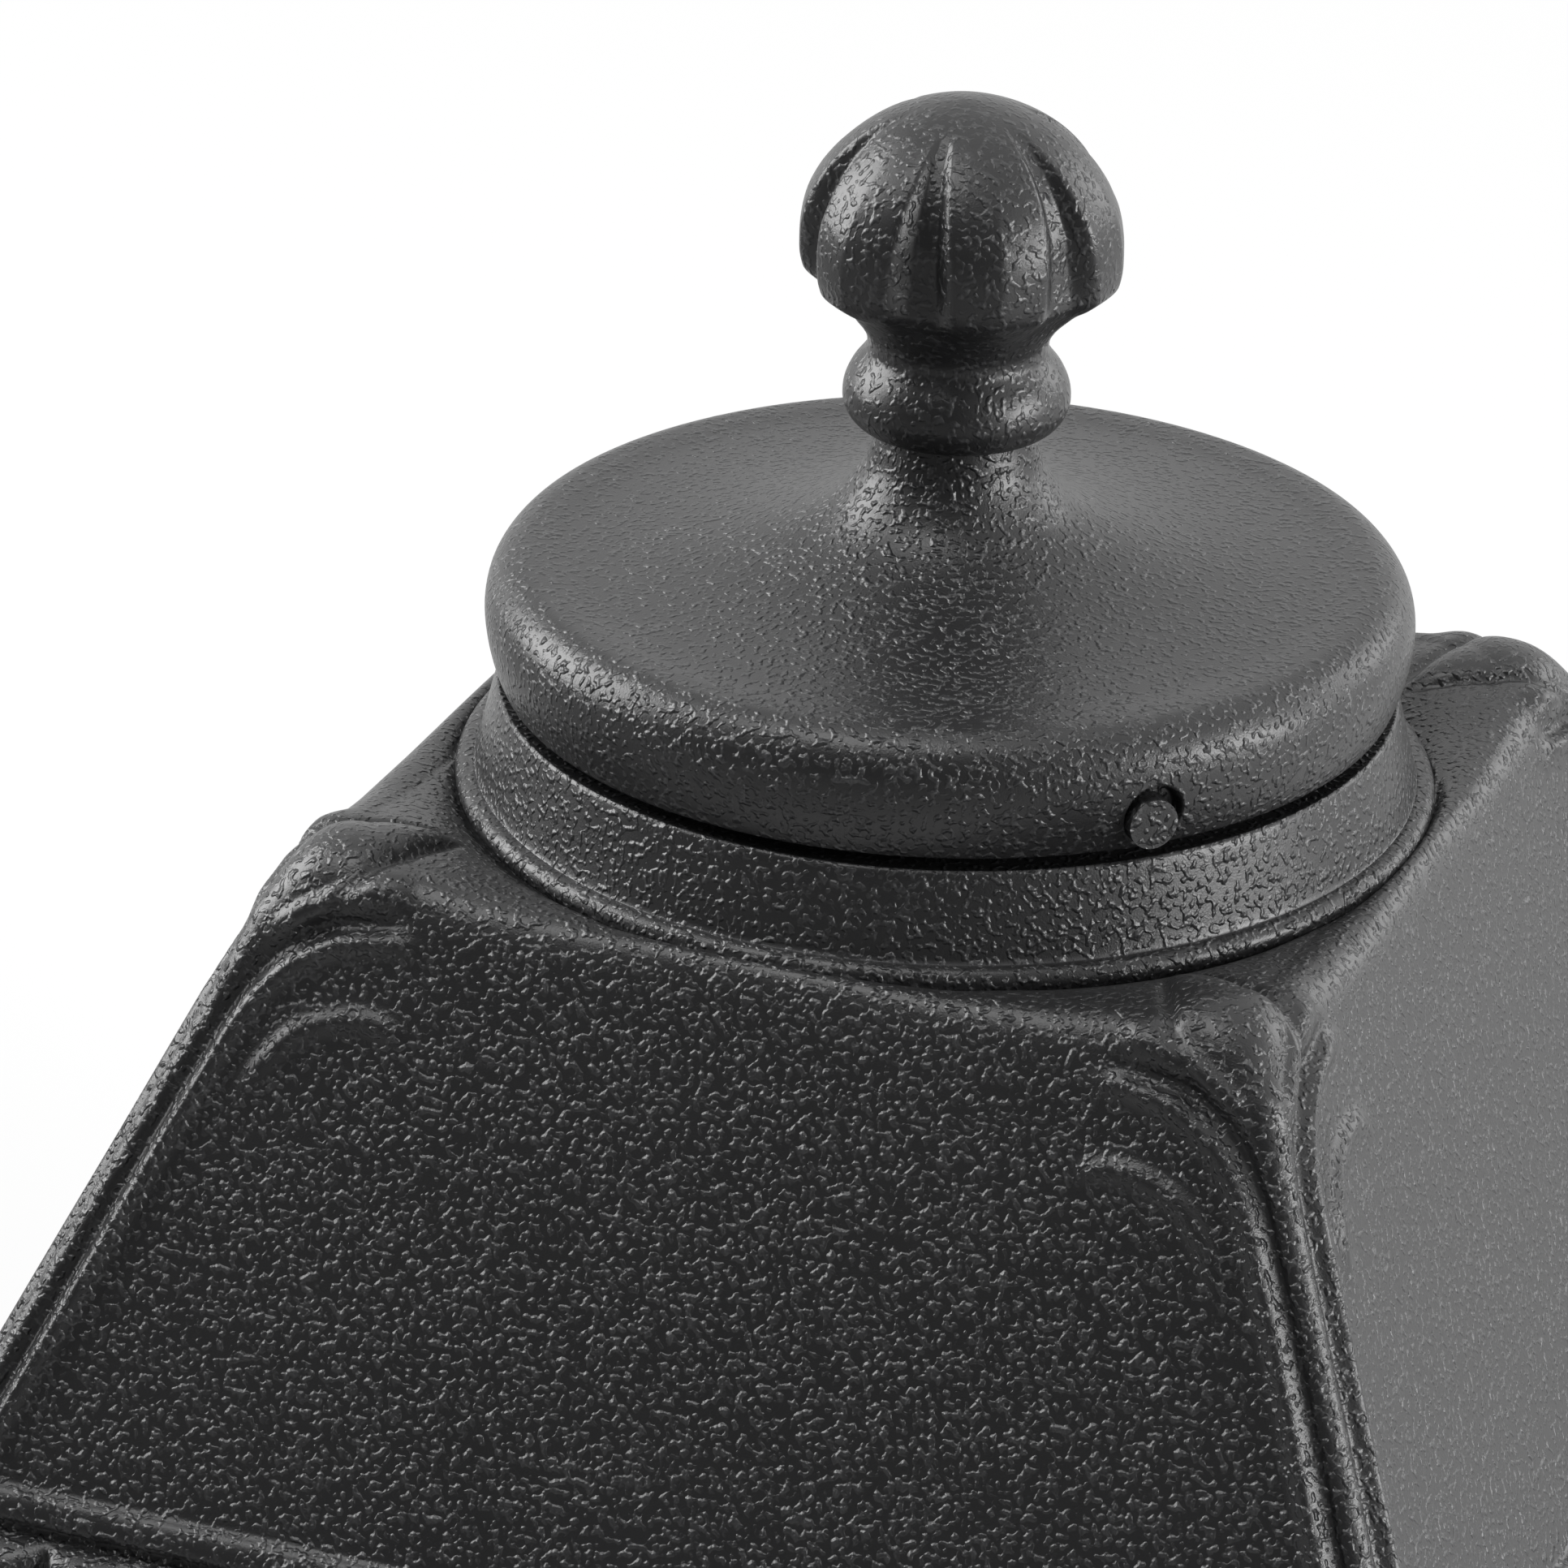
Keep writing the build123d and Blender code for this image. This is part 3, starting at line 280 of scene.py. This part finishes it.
def shoulder_rows():
    """Each column from the bead's foot, up the dish, over the rounded shoulder and onto the facet."""
    x, y, _, _ = facet_loop(roof_half(FACET_TOP_DROP), HIP_ROUND)
    angle = np.arctan2(x, -y)
    foot = np.stack([BEAD_FOOT_R * np.sin(angle), -BEAD_FOOT_R * np.cos(angle),
                     np.full(x.shape, -BEAD_FOOT_DROP)], -1)
    low = np.stack([x, y, np.full(x.shape, -FACET_TOP_DROP)], -1)
    ex, ey, _, _ = facet_loop(SHOULDER_HALF, SHOULDER_CORNER)
    edge = np.stack([ex, ey, -SHOULDER_DROP + CORNER_RAISE * smoothstep(ex, CORNER_FROM, CORNER_TO)], -1)
    inner, outer = np.linalg.norm(edge - foot, axis=1), np.linalg.norm(low - edge, axis=1)
    start = edge + (foot - edge) * (np.minimum(ROUND_IN_SHARE * inner, ROUND_IN_MOST) / inner)[:, None]
    end = edge + (low - edge) * (np.minimum(ROUND_OUT_SHARE * outer, ROUND_OUT_MOST) / outer)[:, None]
    rows = []
    for t in np.linspace(0, 1, DISH_ROWS)[:-1]:
        row = foot + (start - foot) * t
        row[:, 2] = foot[:, 2] + (start[:, 2] - foot[:, 2]) * (1 - (1 - t) ** DISH_EASE)
        rows.append(row)
    for t in np.linspace(0, 1, ROUND_ROWS)[:-1]:
        rows.append(start * (1 - t) ** 2 + edge * 2 * t * (1 - t) + end * t ** 2)
    rows += [end + (low - end) * t for t in np.linspace(0, 1, EDGE_ROWS)[:-1]]
    return rows


def facet_rows():
    """Rows down the plain facet, below the shoulder."""
    rows = []
    for drop in FACET_DROPS:
        x, y, _, _ = facet_loop(roof_half(drop), HIP_ROUND)
        rows.append(np.stack([x, y, np.full(x.shape, -drop)], -1))
    return rows


def grid_normals(grid):
    """Outward normals of a half facet's grid, kept true at the hip and at the middle."""
    down = np.gradient(grid, axis=0)
    across = np.gradient(grid, axis=1)
    normal = np.cross(down, across)
    normal /= np.maximum(np.linalg.norm(normal, axis=-1, keepdims=True), 1e-9)
    normal *= np.sign(normal[..., 2:3] - normal[..., 1:2])
    level = (normal[:, 0, 0] - normal[:, 0, 1]) / 2
    normal[:, 0, 0], normal[:, 0, 1] = level, -level
    normal[:, -1, 0] = 0
    return normal / np.linalg.norm(normal, axis=-1, keepdims=True)


def ornament_height(grid, normal):
    """Height of leaf, crook, hooked ridge, groove and inner arc over the plain roof."""
    x, y, drop = grid[..., 0], grid[..., 1], -grid[..., 2]
    steep = smoothstep(-normal[..., 1] + normal[..., 0], 0.0, STEEP)
    lines = ridge_height(x, drop, HOOK_LINE, **HOOK)
    lines = lines + ridge_height(x, drop, ARC_LINE, **ARC)
    lines = lines - ridge_height(x, drop, GROOVE_LINE, **GROOVE)
    crook = ridge_height(x, drop, CROOK_LINE, **CROOK)
    leaf = leaf_height(x, y)
    return lines * steep + np.where(leaf > 0, np.maximum(leaf, crook * steep), leaf + crook * steep)


def frieze_rows():
    """Upright lobes in a row, each domed at its top."""
    half = roof_half(FRIEZE_AT_DROP)
    x, _, _, _ = facet_loop(half, HIP_ROUND)
    pitch = 2 * half / LOBES
    phase = np.abs(((x / pitch + 0.5) % 1.0) - 0.5) * 2
    lobe = np.sqrt(np.clip(1 - phase ** 2, 0, 1))
    rows = []
    for s in np.linspace(0, 1, FRIEZE_ROWS):
        dome = math.sqrt(max(0.0, 1 - (1 - min(1.0, s / LOBE_DOME)) ** 2))
        rows.append(square_row(half, FRIEZE_TOP_DROP + FRIEZE_H * s, LOBE_ROOT + LOBE_OUT * lobe * dome))
    rows.append(square_row(half - LIP_TUCK, LIP_TOP_DROP))
    return rows


def build_roof():
    loops = [round_row(radius, height) for radius, height in NECK_AND_COLLAR]
    for angle in np.radians(BEAD_ANGLES):
        radius = BEAD_MIDDLE_R + BEAD_R * math.cos(angle)
        loops.append(round_row(radius, -BEAD_DROP + BEAD_R * math.sin(angle)))
    grid = np.array(shoulder_rows() + facet_rows())
    normal = grid_normals(grid)
    raised = grid + normal * ornament_height(grid, normal)[..., None]
    loops += [full_ring(row[:, 0], row[:, 1], RIM_Z + row[:, 2]) for row in raised]
    loops += [square_row(roof_half(drop), drop, proud) for drop, proud in BAND]
    loops += frieze_rows()
    lip_half = roof_half(EAVES_DROP) + LIP_PROUD
    loops += [square_row(lip_half + step, drop) for step, drop in LIP]
    loops += [square_row(half, drop) for half, drop in LIP_UNDERSIDE]
    loops += [square_row(roof_half(drop) - SHELL_T, drop) for drop in INSIDE_DROPS]
    loops += [round_row(radius, height) for radius, height in INSIDE_TOP]
    return loops_to_mesh("roof_casting", loops)


# Vent cap: profile as (radius, height), and the recess beside each grub screw

BELL = [(6.0, 15.35), (6.35, 13.8), (7.1, 11.6), (9.2, 8.9), (12.8, 6.85), (18, 5.25), (23.4, 4.4),
        (28.6, 4.05), (31.6, 4.15)]
CAP_RIM = [(31.6, 4.15), (33.2, 4.05), (34.6, 3.3), (35.6, 1.9), (36.0, 0.1), (35.85, -1.9), (35.4, -3.8),
           (34.85, -5.2), (34.4, -5.5)]
CAP_UNDER = [(33.6, -5.5), (32.6, -5.4), (32.4, -5.0), (32.4, 0.7), (31.4, 0.8), (31.3, -0.9), (28.5, -1.0),
             (28.4, 0.7), (9.0, 4.5), (3.1, 4.5), (3.05, 15.3)]
CAP_STEPS = 10
CAP_COLUMNS = 300
SCREW_COLUMNS = np.linspace(-0.1, 0.1, 90)    # closer columns to each side of a screw, in radians
SCREW_AT = (-45.0, 135.0)
SCREW_DROP = 2.9
RECESS_SHIFT = 0.4            # aside from the screw and upward
RECESS_DEPTH = 1.4
RECESS_EDGE = (2.15, 2.45)
SKIRT_FROM_R, SKIRT_FROM_Z = 33, -5.3


def build_cap():
    bell = curve_through(BELL, CAP_STEPS)
    rim = curve_through(CAP_RIM, CAP_STEPS)
    profile = np.vstack([bell, rim[1:], CAP_UNDER])
    even = np.linspace(0, FULL_TURN, CAP_COLUMNS, endpoint=False)
    close = np.concatenate([SCREW_COLUMNS + math.radians(a) for a in SCREW_AT])
    angle = np.unique(np.round(np.concatenate([even, close % FULL_TURN]), 5))
    loops = []
    for r, z in profile:
        radius = np.full(angle.shape, r)
        if r > SKIRT_FROM_R and z > SKIRT_FROM_Z:
            for a in SCREW_AT:
                off = (angle - math.radians(a) + math.pi) % FULL_TURN - math.pi
                gap = np.hypot(off * r - RECESS_SHIFT, z + SCREW_DROP - RECESS_SHIFT)
                radius = radius - RECESS_DEPTH * (1 - smoothstep(gap, *RECESS_EDGE))
        loops.append(turned_row(radius, angle, z))
    return loops_to_mesh("vent_cap", loops)


# Finial: profile as (radius, height), and its flutes by height

FINIAL_FOOT = [
    (6.6, 15.32), (7.4, 15.45), (8.2, 16.1), (8.65, 17.0), (8.75, 17.8), (8.6, 18.8), (8.1, 19.9),
    (7.5, 20.7), (7.05, 21.35), (6.95, 21.9), (7.05, 22.6), (7.4, 23.3), (8.0, 24.1), (8.9, 25.0),
    (10.0, 25.9), (11.3, 26.7), (12.25, 27.55), (12.6, 28.6)]
DOME = [
    (12.65, 29.8), (12.57, 31.3), (12.25, 32.9), (11.7, 34.2), (10.85, 35.6), (9.6, 37.1), (7.9, 38.6),
    (5.8, 39.9), (3.3, 40.9), (1.4, 41.35), (0.3, 41.5)]
CROWN_AND_BORE = ((0.02, 41.52), (0.02, 26.3), (3.05, 26.3), (3.05, 15.3), (6.2, 15.3))
FINIAL_STEPS = 6
FINIAL_COLUMNS = 360
FLUTE_STEP = FULL_TURN / 6
FLUTE_TURN = 4.5              # first flute, in degrees from -Y towards +X
FLUTE_HALF_W = ([24.6, 27, 31, 35, 38, 39.6, 40.5], [3.4, 3.35, 3.0, 2.3, 1.5, 1.0, 0.6])
FLUTE_DEPTH = ([24.2, 25.6, 27, 29, 31, 35, 38, 39.6, 40.5], [0, 0.4, 0.9, 1.5, 1.7, 1.45, 1.0, 0.5, 0])
FLUTE_FLOOR = 0.28            # flat share of a flute
LOBE_BULGE = ([25, 28, 34, 39], [0, 0.5, 0.4, 0])


def build_finial():
    angle = np.linspace(0, FULL_TURN, FINIAL_COLUMNS, endpoint=False)
    first = math.radians(FLUTE_TURN - 90)
    half_step = FLUTE_STEP / 2
    turn = np.abs((angle - first + half_step) % FLUTE_STEP - half_step)
    loops = []
    for r, z in curve_through(FINIAL_FOOT + DOME, FINIAL_STEPS):
        out = np.clip((turn * r / np.interp(z, *FLUTE_HALF_W) - FLUTE_FLOOR) / (1 - FLUTE_FLOOR), 0, 1)
        groove = 0.5 * (1 + np.cos(math.pi * out))
        bulge = np.interp(z, *LOBE_BULGE) * ((turn / half_step) ** 2 - 1)
        loops.append(turned_row(r - np.interp(z, *FLUTE_DEPTH) * groove + bulge, angle, z))
    loops += [turned_row(r, angle, z) for r, z in CROWN_AND_BORE]
    return loops_to_mesh("finial_casting", loops)


# Materials

PEBBLES = dict(Scale=1950.0, Detail=0.6, Roughness=0.4, Distortion=0.1)
PEBBLE_RANGE = (0.5, 0.85)
FINE_GRAIN = dict(Scale=6500.0, Detail=1.0, Roughness=0.5)
FINE_SHARE = 0.12
SHEEN_PATCHES = dict(Scale=60.0, Detail=4.0)
WEAR_PATCHES = dict(Scale=240.0, Detail=3.0)
WEAR_RANGE = (0.985, 0.86)    # cosine between the surface and its rounded edge
# The coat's lighter edge colour is partly rubbed coat and partly a painted highlight along the edges
COAT_WEAR_AND_HIGHLIGHT_MM, FINISH_WEAR_MM = 0.6, 0.3
COAT_LOW, COAT_HIGH, COAT_RUBBED_AND_HIGHLIGHT = (0.011, 0.011, 0.0115), (0.03, 0.0305, 0.032), (0.085, 0.085, 0.087)
COAT_ROUGHNESS = (0.3, 0.4)
COAT_SPECULAR = 0.65
RUBBED_RELIEF = 0.6
FINISH_GRAIN = dict(Scale=300.0, Detail=4.0)
FINISH_BLOTCHES = (0.3, 0.7)  # grain over which the finish turns from its low to its high tone
RUBBED_GAIN, RUBBED_LIFT = 1.25, 0.02
FINISH_SHEEN = (0.85, 1.15)   # roughness varies between these shares
PANE_WAVES = dict(Scale=25.0, Detail=1.0)
PANE_TINT = (0.96, 0.98, 0.975, 1)


def node(tree, kind, **values):
    """A new node with its sockets or settings given by name."""
    made = tree.nodes.new(kind)
    for key, value in values.items():
        if key in made.inputs:
            made.inputs[key].default_value = value
        else:
            setattr(made, key, value)
    return made


def new_material(name):
    """A material with a Principled shader, its node tree and its object coordinates."""
    mat = bpy.data.materials.new(name)
    mat.use_nodes = True
    tree = mat.node_tree
    tree.nodes.clear()
    out = tree.nodes.new("ShaderNodeOutputMaterial")
    shader = tree.nodes.new("ShaderNodeBsdfPrincipled")
    tree.links.new(shader.outputs["BSDF"], out.inputs["Surface"])
    return mat, tree, shader, node(tree, "ShaderNodeTexCoord").outputs["Object"]


def noise(tree, place, **values):
    """Noise at a place, from nought to one."""
    made = node(tree, "ShaderNodeTexNoise", **values)
    tree.links.new(place, made.inputs["Vector"])
    return made.outputs["Fac"]


def math_of(tree, operation, first, second):
    """Two values joined by a sum, product or other operation."""
    made = node(tree, "ShaderNodeMath", operation=operation)
    tree.links.new(first, made.inputs[0])
    tree.links.new(second, made.inputs[1])
    return made.outputs[0]


def map_range(tree, value, low, high, to_low=0.0, to_high=1.0, kind="LINEAR"):
    """Runs from to_low to to_high while the value runs from low to high."""
    made = node(tree, "ShaderNodeMapRange", interpolation_type=kind)
    for key, number in (("From Min", low), ("From Max", high), ("To Min", to_low), ("To Max", to_high)):
        made.inputs[key].default_value = number
    tree.links.new(value, made.inputs["Value"])
    return made.outputs["Result"]


def two_tones(tree, value, low, high, start=0.0, end=1.0):
    """Colour that runs from low to high while the value runs from start to end."""
    ramp = node(tree, "ShaderNodeValToRGB")
    first, last = ramp.color_ramp.elements
    first.position, last.position = start, end
    first.color, last.color = (*low, 1), (*high, 1)
    tree.links.new(value, ramp.inputs["Fac"])
    return ramp.outputs["Color"]


def edge_wear(tree, place, radius_mm):
    """Mask of the edges where a finish is rubbed, broken up by noise; on the black coat it also places a
    painted highlight along the edges.
    """
    rounded = node(tree, "ShaderNodeBevel", samples=3, Radius=radius_mm * MM)
    geometry = node(tree, "ShaderNodeNewGeometry")
    same = node(tree, "ShaderNodeVectorMath", operation="DOT_PRODUCT")
    tree.links.new(rounded.outputs["Normal"], same.inputs[0])
    tree.links.new(geometry.outputs["Normal"], same.inputs[1])
    edge = map_range(tree, same.outputs["Value"], *WEAR_RANGE, kind="SMOOTHSTEP")
    return math_of(tree, "MULTIPLY", edge, noise(tree, place, **WEAR_PATCHES))


def rubbed_colour(tree, base, mask, rubbed):
    """Base colour that turns to the rubbed one where the mask is; on the black coat that lighter colour is
    partly a painted highlight.
    """
    mix = node(tree, "ShaderNodeMix", data_type="RGBA")
    tree.links.new(mask, mix.inputs["Factor"])
    tree.links.new(base, mix.inputs[6])
    mix.inputs[7].default_value = (*rubbed, 1)
    return mix.outputs[2]


def hammered_coat(name, grain_mm):
    """Black powder coat with small rounded pebbles, finer grain and lighter edges, partly rubbed coat and
    partly a painted highlight.
    """
    mat, tree, shader, place = new_material(name)
    link = tree.links.new
    pebbles = map_range(tree, noise(tree, place, **PEBBLES), *PEBBLE_RANGE)
    height = node(tree, "ShaderNodeMath", operation="MULTIPLY_ADD")
    link(noise(tree, place, **FINE_GRAIN), height.inputs[0])
    height.inputs[1].default_value = FINE_SHARE
    link(pebbles, height.inputs[2])
    # Edge mask for the lighter edges: partly wear, partly a painted highlight along the edges
    rubbed = edge_wear(tree, place, COAT_WEAR_AND_HIGHLIGHT_MM)
    bump = node(tree, "ShaderNodeBump", Distance=grain_mm * MM)
    link(map_range(tree, rubbed, 0.0, 1.0, 1.0, RUBBED_RELIEF), bump.inputs["Strength"])
    link(height.outputs[0], bump.inputs["Height"])
    link(bump.outputs["Normal"], shader.inputs["Normal"])
    tone = two_tones(tree, pebbles, COAT_LOW, COAT_HIGH)
    # Lighter grey at the edges, partly rubbed coat and partly a painted highlight
    link(rubbed_colour(tree, tone, rubbed, COAT_RUBBED_AND_HIGHLIGHT), shader.inputs["Base Color"])
    sheen = map_range(tree, noise(tree, place, **SHEEN_PATCHES), 0.0, 1.0, *COAT_ROUGHNESS)
    link(sheen, shader.inputs["Roughness"])
    shader.inputs["Specular IOR Level"].default_value = COAT_SPECULAR
    return mat


def plain_finish(name, low, high, roughness, metallic=0.0, bump_mm=0.02):
    """Finish with fine grain, blotches of two tones and rubbed edges."""
    mat, tree, shader, place = new_material(name)
    link = tree.links.new
    grain = noise(tree, place, **FINISH_GRAIN)
    tone = two_tones(tree, grain, low, high, *FINISH_BLOTCHES)
    rubbed = tuple(min(1.0, RUBBED_GAIN * v + RUBBED_LIFT) for v in high)
    wear = edge_wear(tree, place, FINISH_WEAR_MM)
    link(rubbed_colour(tree, tone, wear, rubbed), shader.inputs["Base Color"])
    bump = node(tree, "ShaderNodeBump", Strength=0.5, Distance=bump_mm * MM)
    link(grain, bump.inputs["Height"])
    link(bump.outputs["Normal"], shader.inputs["Normal"])
    sheen = map_range(tree, grain, 0.0, 1.0, *(share * roughness for share in FINISH_SHEEN))
    link(sheen, shader.inputs["Roughness"])
    shader.inputs["Metallic"].default_value = metallic
    return mat


def clear_glass():
    """Clear pane with slight waves."""
    mat, tree, shader, place = new_material("clear_pane")
    shader.inputs["Base Color"].default_value = PANE_TINT
    shader.inputs["Roughness"].default_value = 0.02
    shader.inputs["IOR"].default_value = 1.5
    shader.inputs["Transmission Weight"].default_value = 1.0
    bump = node(tree, "ShaderNodeBump", Strength=0.15, Distance=0.4 * MM)
    tree.links.new(noise(tree, place, **PANE_WAVES), bump.inputs["Height"])
    tree.links.new(bump.outputs["Normal"], shader.inputs["Normal"])
    return mat


COAT = hammered_coat("hammered_black_coat", 0.18)
FINISH = {
    "coated_casting": COAT,
    "clear_glass": clear_glass(),
    "zinc_steel": plain_finish("zinc_plate", (0.42, 0.43, 0.45), (0.6, 0.61, 0.62), 0.38, 1.0),
    "black_steel": COAT,
    "brass": plain_finish("plain_brass", (0.6, 0.42, 0.16), (0.75, 0.56, 0.26), 0.35, 1.0),
    "white_plastic": plain_finish("white_plastic", (0.74, 0.74, 0.72), (0.82, 0.82, 0.8), 0.5),
    "black_plastic": plain_finish("black_plastic", (0.02, 0.02, 0.02), (0.035, 0.035, 0.036), 0.42),
    "gasket_rubber": plain_finish("gasket_rubber", (0.018, 0.018, 0.018), (0.03, 0.03, 0.03), 0.8,
                                  bump_mm=0.05),
    "lamp_shell": plain_finish("lamp_shell", (0.62, 0.62, 0.6), (0.78, 0.78, 0.76), 0.3, 1.0),
    "opal_glass": plain_finish("opal_glass", (0.86, 0.86, 0.83), (0.9, 0.9, 0.88), 0.25, bump_mm=0.005),
}
slot_of = {s["node"]: s["material_slot"] for s in frame["record"]["subparts"]}
for name, obj in nodes.items():
    obj.data.materials.clear()
    obj.data.materials.append(FINISH[slot_of[name]])


def dress(obj, body, slot, *replaced):
    """Give a piece its finish and body, in place of the CAD meshes that it replaces."""
    obj.data.materials.append(FINISH[slot])
    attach(obj, body)
    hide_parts(*replaced)


dress(build_roof(), "lantern", "coated_casting", "roof")
dress(build_cap(), "cap", "coated_casting", "cap")
finial_casting = build_finial()
dress(finial_casting, "finial", "coated_casting", "finial")
finial_casting.data.materials[0] = hammered_coat("smoother_black_coat", 0.11)

# Camera at the photograph's angle

IMAGE_WIDTH = 1932
FOCAL_PIXELS = 9841.809
SENSOR_WIDTH = 36.0
ELEVATION, TURN = math.radians(23.457), math.radians(19.747)
DISTANCE = 17.191 * CAP_R
YAW, PITCH, ROLL = (math.radians(v) for v in (-1.149, 1.326, -1.785))

back = np.array([0, -math.cos(ELEVATION), math.sin(ELEVATION)])
right = np.array([1.0, 0, 0])
aim = np.stack([right, np.cross(back, right), back])
cy, sy, cp, sp, cr, sr = (f(a) for a in (YAW, PITCH, ROLL) for f in (math.cos, math.sin))
roll = np.array([[cr, -sr, 0], [sr, cr, 0], [0, 0, 1]])
pitch = np.array([[1, 0, 0], [0, cp, -sp], [0, sp, cp]])
yaw = np.array([[cy, 0, sy], [0, 1, 0], [-sy, 0, cy]])
turn = np.array([[math.cos(TURN), -math.sin(TURN), 0], [math.sin(TURN), math.cos(TURN), 0], [0, 0, 1]])
axes = turn @ (roll @ pitch @ yaw @ aim).T
place = turn @ (back * DISTANCE) + np.array([0, 0, RIM_Z])
camera = bpy.data.objects.new("camera", bpy.data.cameras.new("camera"))
bpy.context.scene.collection.objects.link(camera)
world_from_camera = Matrix.Identity(4)
for row in range(3):
    for col in range(3):
        world_from_camera[row][col] = axes[row, col]
    world_from_camera[row][3] = place[row] * MM
camera.matrix_world = world_from_camera
camera.data.sensor_width = SENSOR_WIDTH
camera.data.lens = SENSOR_WIDTH * FOCAL_PIXELS / IMAGE_WIDTH
camera.data.clip_start = 0.01
bpy.context.scene.camera = camera

# Floor, backdrop and lamps

FLOOR_HALF, FLOOR_Z = 9000, -0.3
FLOOR_COLOUR = (0.85, 0.85, 0.85, 1)
BACKDROP_TURN = math.radians(32)
FLOOR_FADE, FLOOR_FRONT_LEVEL = (-0.5, 0.35), 0.3
ROOM_FADE, ROOM_FRONT_LEVEL = (-0.5, 0.5), 0.1    # the room behind the camera, beside the white backdrop's 1
SHADOW_REACH = (0.15, 0.6)    # metres from the axis over which the floor turns from lit to plain white
WHITE_SHARE = (0.5, 0.95)
LAMP_DISTANCE = 1.3
LAMP_TARGET = (0, 0, 0.33)


def backdrop_rays(tree):
    """One for the rays that see the white backdrop: from the camera, off gloss and through glass."""
    path = node(tree, "ShaderNodeLightPath")
    gloss = math_of(tree, "MAXIMUM", path.outputs["Is Camera Ray"], path.outputs["Is Glossy Ray"])
    return math_of(tree, "MAXIMUM", gloss, path.outputs["Is Transmission Ray"])


def backdrop_fade(tree, place, reach, front):
    """Grey that runs from the room behind the camera to the white backdrop."""
    toward = node(tree, "ShaderNodeVectorMath", operation="DOT_PRODUCT")
    toward.inputs[1].default_value = (math.sin(BACKDROP_TURN), math.cos(BACKDROP_TURN), 0)
    tree.links.new(place, toward.inputs[0])
    return map_range(tree, toward.outputs["Value"], *reach, front, 1.0, "SMOOTHSTEP")


def pale_floor():
    """Floor that shows white towards the backdrop and keeps a soft shadow."""
    mat = bpy.data.materials.new("pale_floor")
    mat.use_nodes = True
    tree = mat.node_tree
    tree.nodes.clear()
    out = tree.nodes.new("ShaderNodeOutputMaterial")
    place = node(tree, "ShaderNodeTexCoord").outputs["Object"]
    diffuse = node(tree, "ShaderNodeBsdfDiffuse", Color=FLOOR_COLOUR)
    glow = node(tree, "ShaderNodeEmission", Strength=1.0)
    tree.links.new(backdrop_fade(tree, place, FLOOR_FADE, FLOOR_FRONT_LEVEL), glow.inputs["Color"])
    away = node(tree, "ShaderNodeVectorMath", operation="LENGTH")
    tree.links.new(place, away.inputs[0])
    share = map_range(tree, away.outputs["Value"], *SHADOW_REACH, *WHITE_SHARE, "SMOOTHSTEP")
    mix = node(tree, "ShaderNodeMixShader")
    tree.links.new(math_of(tree, "MULTIPLY", backdrop_rays(tree), share), mix.inputs["Fac"])
    tree.links.new(diffuse.outputs[0], mix.inputs[1])
    tree.links.new(glow.outputs[0], mix.inputs[2])
    tree.links.new(mix.outputs[0], out.inputs["Surface"])
    return mat


floor_corners = [(x * FLOOR_HALF, y * FLOOR_HALF, FLOOR_Z) for x, y in ((-1, -1), (1, -1), (1, 1), (-1, 1))]
floor = make_mesh("floor", floor_corners, [(0, 1, 2, 3)], False)
floor.data.materials.append(pale_floor())

world = bpy.data.worlds.new("studio")
world.use_nodes = True
bpy.context.scene.world = world
tree = world.node_tree
tree.nodes.clear()
out = tree.nodes.new("ShaderNodeOutputWorld")
backdrop = node(tree, "ShaderNodeBackground", Strength=1.0)
sky = node(tree, "ShaderNodeTexCoord").outputs["Generated"]
tree.links.new(backdrop_fade(tree, sky, ROOM_FADE, ROOM_FRONT_LEVEL), backdrop.inputs["Color"])
tree.links.new(backdrop.outputs[0], out.inputs["Surface"])


def softbox(name, azimuth, elevation, width, height, power):
    """Area lamp aimed at the lantern's top, at an azimuth measured from the camera's."""
    data = bpy.data.lights.new(name, "AREA")
    data.shape = "RECTANGLE"
    data.size, data.size_y = width, height
    data.energy = power
    lamp = bpy.data.objects.new(name, data)
    bpy.context.scene.collection.objects.link(lamp)
    a, e = TURN + math.radians(azimuth), math.radians(elevation)
    away = np.array([math.sin(a) * math.cos(e), -math.cos(a) * math.cos(e), math.sin(e)])
    lamp.location = np.array(LAMP_TARGET) + away * LAMP_DISTANCE
    lamp.rotation_mode = "QUATERNION"
    lamp.rotation_quaternion = Vector(-away).to_track_quat("-Z", "Y")


softbox("left_softbox", -110, 26, 0.9, 1.0, 22)
softbox("right_softbox", 72, 12, 0.8, 0.5, 13)
softbox("top_softbox", -60, 72, 0.7, 0.7, 6)
softbox("back_softbox", 125, 18, 0.6, 0.6, 3.5)

scene = bpy.context.scene
scene.view_settings.view_transform = "Standard"
bpy.context.view_layer.update()
